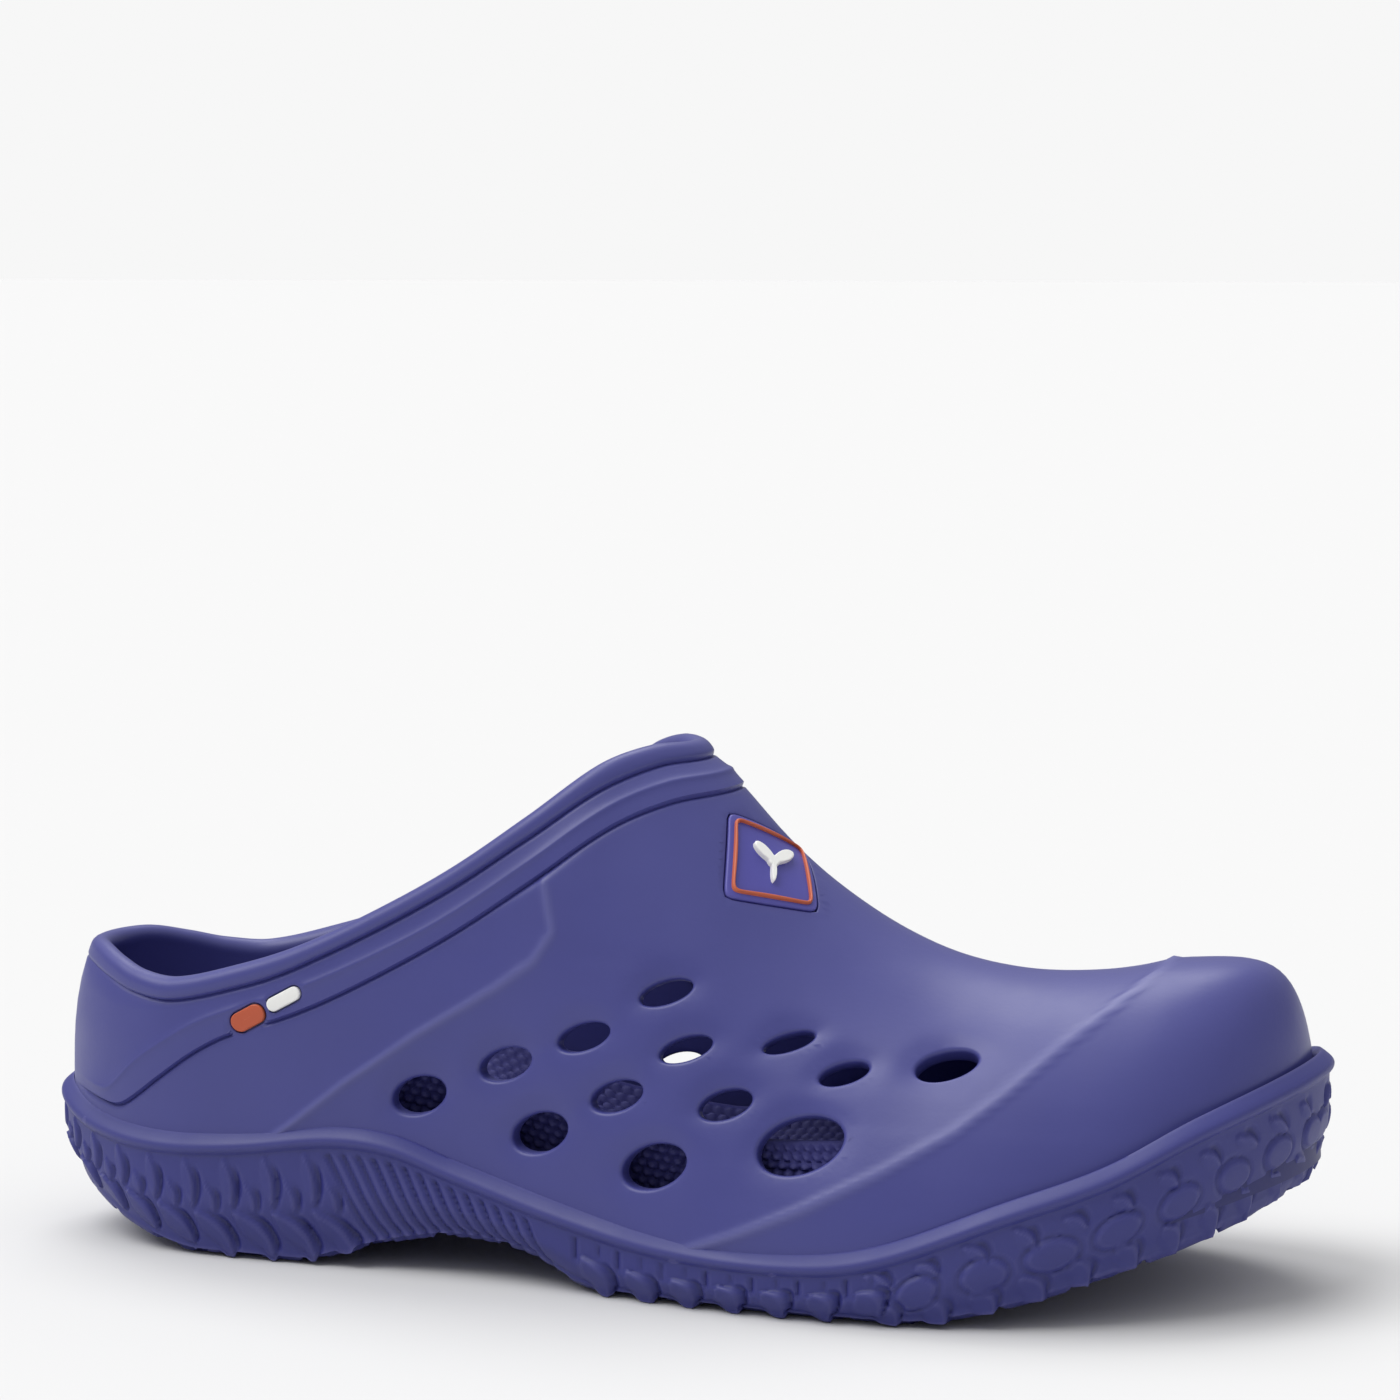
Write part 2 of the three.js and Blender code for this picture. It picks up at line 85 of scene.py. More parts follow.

# %% [markdown]
# ## Sizes
# All shapes are worked out in millimetres with the heel at x = 0, because wall thicknesses and
# groove widths are then plain numbers. They are moved into the frame, in metres, at the very end.
# The overall length, width and height come from the frame's box. Walls and gaps are given.

# %% Driving sizes
metre = 1000.0
box_low, box_high = (metre * np.array(corner) for corner in cad_box)
shoe_length = box_high[0] - box_low[0]
ball_width = 1.006 * (box_high[1] - box_low[1])
collar_peak = 0.997 * box_high[2]
flange = 3.0  # how far the sole's lip stands out past the upper
wall = 4.5
floor_thickness = 3.0
lay_gap = 0.6  # under the upper's floor and under the footbed
cup_gap = 0.6  # between the upper and the sole's cup
footbed_thickness = 6.0
footbed_edge = 4.6  # free width between the footbed and the inside of the wall
heel_lean = 6.5
nose_length = 37.0
nose_fullness = 8
print(f"length {shoe_length:.1f}, ball {ball_width:.1f}, collar {collar_peak:.1f} mm")

# %% [markdown]
# ## The last
# A shoe is made over a last, a solid foot shape. Here the last is a formula: at each station along
# the shoe it has a width, a crown height and a roundness, each read from a smooth line through a
# few points. Sculpting by hand could give the same surface, but a formula can be asked for any
# point and any thickness, so the wall, the vents and the badge all fit each other exactly.

# %% Smooth lines through a few points
def curve(points):
    stations, values = np.array(points, float).T
    order = np.arange(len(stations))
    before = np.maximum(order - 1, 0)
    after = np.minimum(order + 1, len(order) - 1)
    slopes = (values[after] - values[before]) / (stations[after] - stations[before])
    fine = np.linspace(stations[0], stations[-1], 2001)
    i = np.clip(np.searchsorted(stations, fine, side="right") - 1, 0, len(order) - 2)
    span = stations[i + 1] - stations[i]
    t = (fine - stations[i]) / span
    made = (2 * t**3 - 3 * t**2 + 1) * values[i] + (t**3 - 2 * t**2 + t) * span * slopes[i]
    made += (3 * t**2 - 2 * t**3) * values[i + 1] + (t**3 - t**2) * span * slopes[i + 1]
    return lambda station: np.interp(station, fine, made)


def smoothstep(low, high, value):
    t = np.clip((value - low) / (high - low), 0, 1)
    return t * t * (3 - 2 * t)


# %% Profile lines along the shoe, station 0 at the heel and 1 at the toe
centre_line = curve([
    (0, 0), (0.18, -0.005), (0.36, -0.01), (0.57, -0.02),
    (0.71, -0.015), (0.86, 0.024), (0.94, 0.063), (1, 0.117),
])
fullness = curve([
    (0, 0.485), (0.09, 0.482), (0.21, 0.408), (0.36, 0.365), (0.46, 0.394), (0.57, 0.456),
    (0.68, 0.525), (0.77, 0.581), (0.86, 0.631), (0.94, 0.67), (1, 0.67),
])
top_line = curve([
    (0, 1.41), (0.21, 1.39), (0.36, 1.31), (0.45, 1.17), (0.49, 1.07), (0.522, 1),
    (0.557, 0.915), (0.59, 0.827), (0.62, 0.76), (0.654, 0.699), (0.686, 0.652),
    (0.718, 0.616), (0.75, 0.593), (0.786, 0.58), (0.83, 0.58), (0.864, 0.589),
    (0.9, 0.605), (0.936, 0.613), (1, 0.613),
])
rim_line = curve([
    (0, 0.578), (0.03, 0.576), (0.06, 0.558), (0.09, 0.54), (0.13, 0.534), (0.19, 0.568),
    (0.24, 0.61), (0.3, 0.682), (0.36, 0.768), (0.42, 0.874), (0.47, 0.969), (0.5, 0.999),
    (0.522, 1),
])
rib_line = curve([
    (0, 33), (0.05, 28.5), (0.12, 26.5), (0.19, 27.5), (0.27, 30.5), (0.32, 29.5),
    (0.37, 25), (0.45, 19), (0.53, 14.8), (0.62, 13.3), (0.7, 15.8), (0.8, 26),
    (0.87, 33), (0.93, 41.5), (1, 49),
])
seat_line = curve([
    (0, 27), (0.12, 22), (0.27, 25), (0.36, 21), (0.45, 14.5), (0.53, 10.5),
    (0.62, 9.5), (0.71, 11), (0.8, 14), (0.87, 18), (0.94, 23), (1, 27),
])
tread_line = curve([
    (0, 18), (0.04, 10), (0.09, 4), (0.15, 0), (0.24, 0), (0.28, 3), (0.32, 6),
    (0.37, 8), (0.43, 6), (0.47, 1), (0.5, 0), (0.73, 0), (0.79, 3), (0.86, 9),
    (0.94, 17), (1, 24.5),
])
roundness = curve([
    (0, 2.2), (0.36, 2.1), (0.46, 1.95), (0.54, 1.75), (0.63, 1.62),
    (0.72, 1.72), (0.82, 2), (1, 2.2),
])


# %% Heights and widths at a distance x from the heel
def centre(x):
    return ball_width * centre_line(x / shoe_length)


def rim(x):
    return collar_peak * rim_line(x / shoe_length)


def rib(x):
    return rib_line(x / shoe_length)


def seat(x):
    return seat_line(x / shoe_length)


def tread(x):
    return np.maximum(tread_line(x / shoe_length), 0)


def floor_bottom(x):
    return seat(x) + lay_gap


def floor_top(x):
    return floor_bottom(x) + floor_thickness


def footbed_bottom(x):
    return floor_top(x) + lay_gap


def footbed_top(x):
    return footbed_bottom(x) + footbed_thickness


def half_width(x, inset):
    u = np.clip((x - inset) / (shoe_length - 2 * inset), 0, 1)
    return 2 * np.sqrt(u * (1 - u)) * (ball_width * fullness(x / shoe_length) - inset)


def top(x):
    return collar_peak * top_line(x / shoe_length)


def crown(x, inset):
    slope = top(x + 0.5) - top(x - 0.5)
    nose_start = shoe_length - flange - nose_length
    u = np.clip((x - nose_start) / (nose_length - inset), 0, 1)
    return (top(x) - inset * np.hypot(1, slope) - seat(x)) * np.sqrt(1 - u**nose_fullness)


# %% Is a point inside the last, set in by some thickness?
def in_form(x, y, z, inset):
    breadth = half_width(x, flange + inset)
    height = crown(x, inset)
    across = np.abs(y - centre(x)) / np.maximum(breadth, 1e-6)
    up = np.maximum(z - seat(x), 0) / np.maximum(height, 1e-6)
    power = roundness(x / shoe_length)
    inside = np.minimum(across, 9) ** power + np.minimum(up, 9) ** power < 1
    return inside & (breadth > 0) & (height > 0)


def last_inside(test, low, high, steps=30):
    for _ in range(steps):
        middle = (low + high) / 2
        inside = test(middle)
        low = np.where(inside, middle, low)
        high = np.where(inside, high, middle)
    return low


# %% [markdown]
# ## Columns round the shoe
# The upper is laid out like the staves of a barrel: upright planes fan out from hubs on the middle
# line, each running from the sole up to the collar. Because every stave ends at the collar, rows
# that follow it are easy, and the collar's grooves stay crisp with few polygons. A plain grid of
# squares would cut across them and need far more faces.

# %% Upright planes that fan out from the middle line
first_hub, last_hub = 45 / 280, 128 / 280
spine_start, spine_end = 0.14, 0.84


class Columns:
    def __init__(self, count):
        self.count = count
        angle = 2 * np.pi * np.arange(count) / count
        x = shoe_length * (1 - np.cos(angle)) / 2
        y = centre(x) - np.sin(angle) * ball_width * fullness(x / shoe_length)
        share = smoothstep(0.03, 0.72, x / shoe_length)
        self.hub_x = shoe_length * (first_hub + (last_hub - first_hub) * share)
        self.hub_y = centre(self.hub_x)
        self.reach = np.hypot(x - self.hub_x, y - self.hub_y)
        self.out_x = (x - self.hub_x) / self.reach
        self.out_y = (y - self.hub_y) / self.reach
        self.spine_x = np.clip(x, shoe_length * spine_start, shoe_length * spine_end)

    def at(self, distance):
        """x and y at a distance from the hub; distance may hold several values per column."""
        shape = (self.count,) + (1,) * (np.ndim(distance) - 1)
        x = self.hub_x.reshape(shape) + self.out_x.reshape(shape) * distance
        y = self.hub_y.reshape(shape) + self.out_y.reshape(shape) * distance
        return x, y

    def form_ring(self, inset, level):
        """Where each column meets the last, set in by inset, at the height level(x)."""

        def test(distance):
            x, y = self.at(distance)
            return in_form(x, y, level(x), inset)

        distance = last_inside(test, np.zeros(self.count), 1.2 * self.reach)
        x, y = self.at(distance)
        return np.stack([x, y, level(x)], -1)

    def toward_middle(self, ring, share, level):
        spine = np.stack([self.spine_x, centre(self.spine_x)], -1)
        plan = spine + (ring[:, :2] - spine) * share
        return np.column_stack([plan, level(plan[:, 0])])


# %% The outside of the upper as dense staves from the foot to the collar's edge
def lean(points):
    """The back of the heel curls forward at the collar."""
    x, z = points[..., 0], points[..., 2]
    lift = np.clip((z - rib(x)) / (rim(x) - rib(x)), 0, 1)
    behind = np.maximum(1 - x / (shoe_length / 4), 0)  # 0 from a quarter of the length forward
    moved = points.copy()
    moved[..., 0] += heel_lean * lift**3 * behind**2
    return moved


def dense_staves(columns, samples=170):
    foot = columns.form_ring(0, floor_bottom)
    start = (seat(columns.hub_x) + floor_thickness)[:, None]
    run = np.hypot(foot[:, 0] - columns.hub_x, foot[:, 1] - columns.hub_y)
    low = np.arctan2(foot[:, 2] - start[:, 0], run)[:, None]

    def ray(angle):
        def test(distance):
            x, y = columns.at(distance * np.cos(angle))
            return in_form(x, y, start + distance * np.sin(angle), 0)

        far = np.full(angle.shape, shoe_length)
        distance = last_inside(test, np.zeros(angle.shape), far)
        x, y = columns.at(distance * np.cos(angle))
        return np.stack([x, y, start + distance * np.sin(angle)], -1)

    def under_rim(angle):
        points = ray(angle)
        return points[..., 2] < rim(points[..., 0])

    trial_step = 0.04
    trial = low + trial_step * np.arange(60)
    first_over = np.argmin(under_rim(trial), axis=1)[:, None]
    over = low + trial_step * first_over
    high = last_inside(under_rim, over - trial_step, over, 20)
    path = ray(low + (high - low) * np.linspace(0, 1, samples))
    path[:, 0] = foot
    return lean(ease_the_crest(path))


def ease_the_crest(grid, reach=5.0, pull=0.8, passes=60):
    """Softens the fold where the two halves of the last meet along the top of the instep."""
    for _ in range(passes):
        away = grid[..., 1] - centre(grid[..., 0])
        weight = pull * np.exp(-((away / reach) ** 2))[..., None]
        beside = (np.roll(grid, 1, axis=0) + np.roll(grid, -1, axis=0)) / 2
        grid = grid + weight * (beside - grid)
    return grid


def surface_normals(grid):
    """Outward normals of a grid [column, row, xyz] whose columns close into a loop."""
    along = np.roll(grid, -1, axis=0) - np.roll(grid, 1, axis=0)
    up = np.gradient(grid, axis=1)
    normal = np.cross(along, up)
    return normal / np.maximum(np.linalg.norm(normal, axis=-1, keepdims=True), 1e-9)


upper_columns = Columns(960)
staves = dense_staves(upper_columns)
stave_normals = surface_normals(staves)
steps = np.linalg.norm(np.diff(staves, axis=1), axis=-1)
from_foot = np.concatenate([np.zeros((upper_columns.count, 1)), np.cumsum(steps, axis=1)], axis=1)
below_rim = from_foot[:, -1:] - from_foot  # distance down the wall from the collar's edge
stave_length = from_foot[:, -1]
rim_x = staves[:, -1, 0]
print(f"{upper_columns.count} staves, {stave_length.min():.1f} to {stave_length.max():.1f} mm long")


def on_staves(values, distances, every=1):
    """Values of the dense staves at chosen distances below the rim, [column, row, ...]."""
    made = np.empty(distances.shape + (values.shape[-1],))
    for i in range(len(distances)):
        j = i * every
        for axis in range(values.shape[-1]):
            made[i, :, axis] = np.interp(distances[i], below_rim[j, ::-1], values[j, ::-1, axis])
    return made


# %% [markdown]
# ## Collar
# The collar is what a hand meets first: a rolled bead, a fine groove, a band that rises to a soft
# ridge and drops at a second groove. At the heel the band swoops down to the sole. The relief is a
# height added along the surface's normal, as a modeller would do with a displace modifier, but the
# rows of the mesh are set on the ridge and on both grooves first, so no edge is left jagged.

# %% Where the collar's lines run, in millimetres below the rim
bead = 0.2 + 0.85 * smoothstep(15, 40, rim_x)  # the bead melts into the wall round the heel
rim_radius = (wall + bead) / 2
groove_1 = np.interp(rim_x, [0, 60, 72, 95, 115, 134, 150], [5.2, 5.1, 4.6, 4.6, 5.0, 5.8, 5.4])
ridge_stations = [0, 24, 27, 31, 36, 43, 50, 57, 67, 95, 150]
ridge_drops = [34, 29, 24, 19, 14.5, 10.8, 9.6, 9.4, 9.2, 10, 10.4]
groove_stations = [0, 27, 31, 36, 43, 50, 60, 74, 95, 150]
groove_drops = [36, 31, 27, 22, 17.4, 15, 14.5, 14.5, 14.2, 14.6]
under_the_lip = 2.6


def round_the_heel(values, stations):
    """A line's drop for each column, smoothed so that its swoop has no corners."""
    drop = np.interp(rim_x, stations, values)
    for _ in range(40):
        drop = (np.roll(drop, 1) + 2 * drop + np.roll(drop, -1)) / 4
    return drop


def soft_minimum(a, b, width=1.5):
    return (a + b - np.hypot(a - b, width)) / 2


groove_2 = soft_minimum(round_the_heel(groove_drops, groove_stations), stave_length - under_the_lip)
ridge = soft_minimum(round_the_heel(ridge_drops, ridge_stations), groove_2 - 1.8)
front = upper_columns.count // 2
print(f"at the front: ridge {ridge[front]:.1f}, lower groove {groove_2[front]:.1f} mm below the rim")


# %% Rows of the outer surface, packed where the relief is fine
def rows_between(start, stop, count, packing=1.0):
    share = (np.arange(1, count + 1) / count) ** packing
    return start[:, None] + (stop - start)[:, None] * share


equator = rim_radius
knots = [
    (equator, 0, 1), (groove_1 - 0.7, 5, 1), (groove_1, 3, 1), (groove_1 + 0.7, 3, 1),
    (ridge - 0.8, 5, 1), (ridge, 3, 1), (ridge + 0.8, 3, 1), (groove_2 - 0.6, 4, 1),
    (groove_2, 3, 1), (groove_2 + 0.6, 3, 1), (groove_2 + 3.5, 4, 1), (stave_length, 84, 0.8),
]
outer_distances = [equator[:, None]]
for (start, _, _), (stop, count, packing) in zip(knots, knots[1:]):
    outer_distances.append(rows_between(start, stop, count, packing))
outer_distances = np.concatenate(outer_distances, axis=1)[:, ::-1]  # foot first
outer_base = on_staves(staves, outer_distances)
outer_normals = on_staves(stave_normals, outer_distances)
outer_normals /= np.linalg.norm(outer_normals, axis=-1, keepdims=True)
print("outer grid", outer_base.shape[:2])


# %% Relief of the collar
band_height = 0.72  # how far the band stands out at its ridge
band_fall = 0.12  # how much of that is lost again at the lower groove
ridge_crest = 0.22
groove_depth = 0.5


def notch(distance, half, depth):
    return -depth * np.maximum(1 - np.abs(distance) / half, 0)


def collar_relief(e):
    g1, r2, g2 = groove_1[:, None], ridge[:, None], groove_2[:, None]
    stand, start = bead[:, None], rim_radius[:, None]
    present = smoothstep(12, 24, rim_x)[:, None]
    across_bead = np.clip((e - start) / (g1 - start), 0, 1)
    height = stand * np.sqrt(np.maximum(1 - across_bead**2, 0)) * (e <= g1)
    height += notch(e - g1, 0.7, groove_depth) * (0.4 + 0.6 * stand)
    rise = np.clip((e - g1) / (r2 - g1), 0, 1)
    fall = np.clip((e - r2) / (g2 - r2), 0, 1)
    band = band_height * rise**1.2 * (e <= r2)
    band += (band_height - band_fall * fall) * ((e > r2) & (e <= g2))
    band *= np.clip((g2 - e) / 0.5, 0, 1)
    band += ridge_crest * np.exp(-(((e - r2) / 0.7) ** 2))
    height += present * (band + notch(e - g2, 0.6, groove_depth))
    return height


# %% [markdown]
# ## Creases
# Two long creases cross the upper: one rises from the sole to the collar behind the vents, and one
# arches over the toe to mark the toe cap. Each is a low ridge where two soft slopes meet, given by
# its distance from a line drawn on the last, so it keeps one width wherever the wall is steep.

# %% Relief of the two creases
def crease_distance(points, normals, heights, places):
    """Distance along the surface, in front of the line x = places(z)."""
    z = points[..., 2]
    line = np.interp(z, heights, places)
    for_slope = (np.interp(z + 1, heights, places) - np.interp(z - 1, heights, places)) / 2
    gradient = np.stack([np.ones_like(z), np.zeros_like(z), -for_slope], -1)
    gradient -= np.sum(gradient * normals, -1, keepdims=True) * normals
    return (points[..., 0] - line) / np.maximum(np.linalg.norm(gradient, axis=-1), 0.2)


toe_heights = [10, 16.4, 22, 30, 38, 45, 53, 62, 67, 72]
toe_places = [152, 169, 182, 198, 212, 221, 230, 241.5, 248, 252]
panel_heights = [20, 30.6, 40, 51, 62, 67.7, 74, 82, 90]
panel_places = [52, 67, 79, 95, 113, 121, 125, 123, 120]


def crease(distance, swell, reach, crest_height):
    """Two soft slopes that meet, with a narrow crest on top."""
    height = swell * np.exp(-np.abs(distance) / reach)
    return height + crest_height * np.exp(-((distance / 0.8) ** 2))


toe_distance = crease_distance(outer_base, outer_normals, toe_heights, toe_places)
panel_distance = crease_distance(outer_base, outer_normals, panel_heights, panel_places)
creases = crease(toe_distance, 1.4, 12, 0.45) + crease(panel_distance, 0.9, 8, 0.35)
under_band = smoothstep(0, 2, outer_distances - groove_2[:, None])
outer_relief = collar_relief(outer_distances) + creases * under_band
print(f"relief {outer_relief.min():.2f} to {outer_relief.max():.2f} mm")

# %% [markdown]
# ## Vents, and how a hole is cut in a fine skin
# Thirteen vents run through the outer side and seven through the inner one. A boolean cut would
# leave a ragged, hard edge, so each hole is sewn instead: faces inside the hole are dropped from the
# outer and the inner skin, and a tube of rings with a rounded lip is stitched between the two edges
# that are left. The same stitching makes the shallow pockets for the badge and the side mark.

# %% A mesh that grows piece by piece
class Shell:
    def __init__(self):
        self.points = []
        self.faces = []
        self.count = 0

    def add(self, points):
        points = np.asarray(points, float).reshape(-1, 3)
        first = self.count
        self.points.append(points)
        self.count += len(points)
        return np.arange(first, self.count)

    def loops(self, ring_a, ring_b):
        """Quads between two closed rings of equal size; ring_b follows ring_a inward."""
        next_a, next_b = np.roll(ring_a, -1), np.roll(ring_b, -1)
        self.faces.extend(zip(ring_a.tolist(), next_a.tolist(), next_b.tolist(), ring_b.tolist()))

    def zipper(self, ring_a, angles_a, ring_b, angles_b):
        """Triangles between two closed rings of any size, both anticlockwise, a outside b."""
        a, b = 0, 0
        while a < len(ring_a) or b < len(ring_b):
            next_a = angles_a[(a + 1) % len(ring_a)] + 2 * np.pi * ((a + 1) // len(ring_a))
            next_b = angles_b[(b + 1) % len(ring_b)] + 2 * np.pi * ((b + 1) // len(ring_b))
            here_a, here_b = ring_a[a % len(ring_a)], ring_b[b % len(ring_b)]
            if b == len(ring_b) or (a < len(ring_a) and next_a <= next_b):
                self.faces.append((here_a, ring_a[(a + 1) % len(ring_a)], here_b))
                a += 1
            else:
                self.faces.append((here_a, ring_b[(b + 1) % len(ring_b)], here_b))
                b += 1


class Grid:
    """A skin of quads [column, row] inside a shell, with holes still to be cut."""

    def __init__(self, shell, points):
        self.shell = shell
        self.ids = shell.add(points).reshape(points.shape[:2])
        self.kept = np.ones((points.shape[0], points.shape[1] - 1), bool)

    def corners(self):
        right = np.roll(self.ids, -1, axis=0)
        return np.stack([self.ids[:, :-1], right[:, :-1], right[:, 1:], self.ids[:, 1:]], -1)

    def cut(self, inside):
        """Drops the faces that touch a point marked inside; returns the edge left, in order."""
        right = np.roll(inside, -1, axis=0)
        touched = inside[:, :-1] | right[:, :-1] | right[:, 1:] | inside[:, 1:]
        lost = self.corners()[touched & self.kept]
        self.kept &= ~touched
        edges = {(f[i], f[(i + 1) % 4]) for f in lost.tolist() for i in range(4)}
        follow = {a: b for a, b in edges if (b, a) not in edges}
        start = min(follow)
        loop = [start]
        while follow[loop[-1]] != start:
            loop.append(follow[loop[-1]])
        return np.array(loop)

    def close(self, outward=True):
        faces = self.corners()[self.kept]
        if not outward:
            faces = faces[:, ::-1]
        self.shell.faces.extend(map(tuple, faces.tolist()))


# %% A place on the upper, with directions along and off the surface
def place_on_upper(side, station, height, turn=None, slope=None):
    def at(x, z):
        share = np.clip((z - seat(x)) / crown(x, 0), 0, 1)
        power = roundness(x / shoe_length)
        across = (1 - share**power) ** (1 / power)
        return np.array([x, centre(x) + side * half_width(x, flange) * across, z])

    x = station * shoe_length
    along = at(x + 1, height) - at(x - 1, height)
    along /= np.linalg.norm(along)
    upward = at(x, height + 1) - at(x, height - 1)
    upward /= np.linalg.norm(upward)
    out = np.cross(along, upward)
    out *= side * np.sign(out[1]) / np.linalg.norm(out)
    if slope is not None:  # a vent's long axis rises by this much per length
        right = along + slope * upward
        right /= np.linalg.norm(right)
    else:  # turned by an angle about the outward direction
        across = np.cross(out, along)
        right = math.cos(turn) * along + math.sin(turn) * across
    return {"origin": at(x, height), "right": right, "up": np.cross(out, right), "out": out}


def local(place, points):
    """Coordinates of points along a place's right, up and out directions."""
    axes = np.stack([place["right"], place["up"], place["out"]], -1)
    return (points - place["origin"]) @ axes


def from_local(place, a, b, c):
    made = place["origin"] + np.multiply.outer(a, place["right"])
    made += np.multiply.outer(b, place["up"]) + np.multiply.outer(c, place["out"])
    return made


# %% Outlines as a reach from the middle at each angle
def ellipse_reach(half_long, half_short):
    return lambda angle: half_long * half_short / np.hypot(
        half_short * np.cos(angle), half_long * np.sin(angle))


def square_reach(half, squareness=14):
    def reach(angle):
        share = np.abs(np.cos(angle)) ** squareness + np.abs(np.sin(angle)) ** squareness
        return half / share ** (1 / squareness)
    return reach


def pill_reach(half_length, half_wide):
    straight = half_length - half_wide

    def reach(angle):
        c, s = np.abs(np.cos(angle)), np.abs(np.sin(angle))
        flat = half_wide / np.maximum(s, 1e-9)
        end = straight * c + np.sqrt(np.maximum(half_wide**2 - (straight * s) ** 2, 0))
        return np.where(flat * c <= straight, flat, end)
    return reach


def bend_terms(a, b):
    flat = [np.ones_like(a), a, b]
    bent = [a * a, a * b, b * b]
    twisted = [a**3, a * a * b, a * b * b, b**3]
    return np.stack(flat + bent + twisted, -1)


class Opening:
    """A hole or a pocket at one place: finds the skin round it and rings that follow the skin."""

    ring_angles = 2 * np.pi * np.arange(56) / 56
    deep = 14  # points farther than this from the place's plane belong to the other side

    def __init__(self, place, reach):
        self.place, self.reach = place, reach

    def near(self, points, margin):
        q = local(self.place, points)
        angle = np.arctan2(q[..., 1], q[..., 0])
        close = np.hypot(q[..., 0], q[..., 1]) < self.reach(angle) + margin
        return close & (np.abs(q[..., 2]) < self.deep)

    def fit(self, points):
        """A smooth height over the place's plane through the skin near the opening."""
        near = points[self.near(points, 4.0)]
        q = local(self.place, near)
        terms, *_ = np.linalg.lstsq(bend_terms(q[:, 0], q[:, 1]), q[:, 2], rcond=None)
        return lambda a, b: bend_terms(a, b) @ terms

    def ring(self, surface, grow, sink, scale=1.0):
        radius = (self.reach(self.ring_angles) + grow) * scale
        a, b = radius * np.cos(self.ring_angles), radius * np.sin(self.ring_angles)
        return from_local(self.place, a, b, surface(a, b) - sink)

    def angles(self, points):
        q = local(self.place, points)
        return np.arctan2(q[:, 1], q[:, 0])


def stitch(shell, opening, loop, ring_ids, edge_follows=False):
    """Sews a cut edge to a ring. The edge lies outside the ring, or follows it down a hole."""
    angles = opening.angles(np.concatenate(shell.points)[loop])
    first = int(np.argmin(np.abs(angles)))
    loop = np.roll(loop, -first)
    angles = np.unwrap(np.roll(angles, -first))
    if edge_follows:
        shell.zipper(ring_ids, opening.ring_angles, loop, angles)
    else:
        shell.zipper(loop, angles, ring_ids, opening.ring_angles)


# %% Where the vents are: station, height, long width and short width
outer_vents = [
    (0.535, 63, 11.5, 4.8), (0.473, 53, 12, 5.4), (0.553, 52, 11.5, 4.8), (0.628, 54, 11, 3.8),
    (0.41, 46, 12.5, 6.4), (0.671, 48.5, 10.5, 4.6), (0.744, 50.5, 13, 7),
    (0.34, 38, 12.5, 7.6), (0.501, 41.5, 12, 6), (0.586, 41.5, 11.5, 5.8),
    (0.439, 32.4, 13.5, 8), (0.533, 28, 15, 8.8), (0.645, 34.5, 18.5, 11.5),
]
inner_vents = [
    (0.507, 56, 11.5, 5), (0.525, 45, 11.5, 5), (0.6, 47, 11, 4), (0.643, 41.5, 10.5, 5),
    (0.472, 34.5, 12, 6.5), (0.558, 34.5, 11.5, 6.5), (0.617, 27.5, 18, 11.5),
]
vent_slope = 0.35
dish_reach = 3.2
vent_openings = []
for side, vents in ((-1, outer_vents), (1, inner_vents)):
    for station, height, long_width, short_width in vents:
        place = place_on_upper(side, station, height, slope=vent_slope)
        vent_openings.append(Opening(place, ellipse_reach(long_width / 2, short_width / 2)))


def dish(opening, points):
    """The shallow hollow that is pressed into the foam round each vent, deepest at the top."""
    q = local(opening.place, points)
    angle = np.arctan2(q[..., 1], q[..., 0])
    beyond = np.maximum(np.hypot(q[..., 0], q[..., 1]) - opening.reach(angle), 0)
    depth = 0.5 + 0.28 * np.sin(angle)
    return -depth * np.exp(-((beyond / dish_reach) ** 2)) * (np.abs(q[..., 2]) < opening.deep)


# %% Pockets for the badge and the side mark
badge_size, badge_depth, touch_gap = 20.0, 1.8, 0.3
mark_length, mark_spacing, mark_depth = 8.4, 9.6, 0.9
badge_place = place_on_upper(-1, 0.593, 87, turn=-0.4)
mark_place = place_on_upper(-1, 0.216, 54.5, turn=0.5)
marks = []
for name, along, width in (("side_mark_orange", -0.5, 4.2), ("side_mark_white", 0.5, 3.0)):
    spot = dict(mark_place)
    spot["origin"] = mark_place["origin"] + along * mark_spacing * mark_place["right"]
    marks.append({"name": name, "place": spot, "width": width})
pockets = [(Opening(badge_place, square_reach(badge_size / 2 + touch_gap)), badge_depth)]
for mark in marks:
    outline = pill_reach(mark_length / 2 + touch_gap, mark["width"] / 2 + touch_gap)
    pockets.append((Opening(mark["place"], outline), mark_depth))

# %% The outer and inner skins
dishes = np.zeros(outer_base.shape[:2])
for opening in vent_openings:
    dishes += dish(opening, outer_base)
outer_formed = outer_base + outer_relief[..., None] * outer_normals
outer_skin = outer_formed + dishes[..., None] * outer_normals

inner_rows = 46
cove_radius = 3.5
inside_path = staves - wall * stave_normals
cove_height = inside_path[..., 2] - floor_top(inside_path[..., 0]) - cove_radius
cove_start = np.argmax(cove_height > 0, axis=1)
cove_drop = below_rim[np.arange(upper_columns.count), cove_start]
half = slice(None, None, 2)
inner_distances = rows_between(equator, cove_drop, inner_rows)[half, ::-1]
inner_distances = np.concatenate([inner_distances, equator[half, None]], axis=1)
inner_skin = on_staves(inside_path, inner_distances, every=2)
print("inner grid", inner_skin.shape[:2])

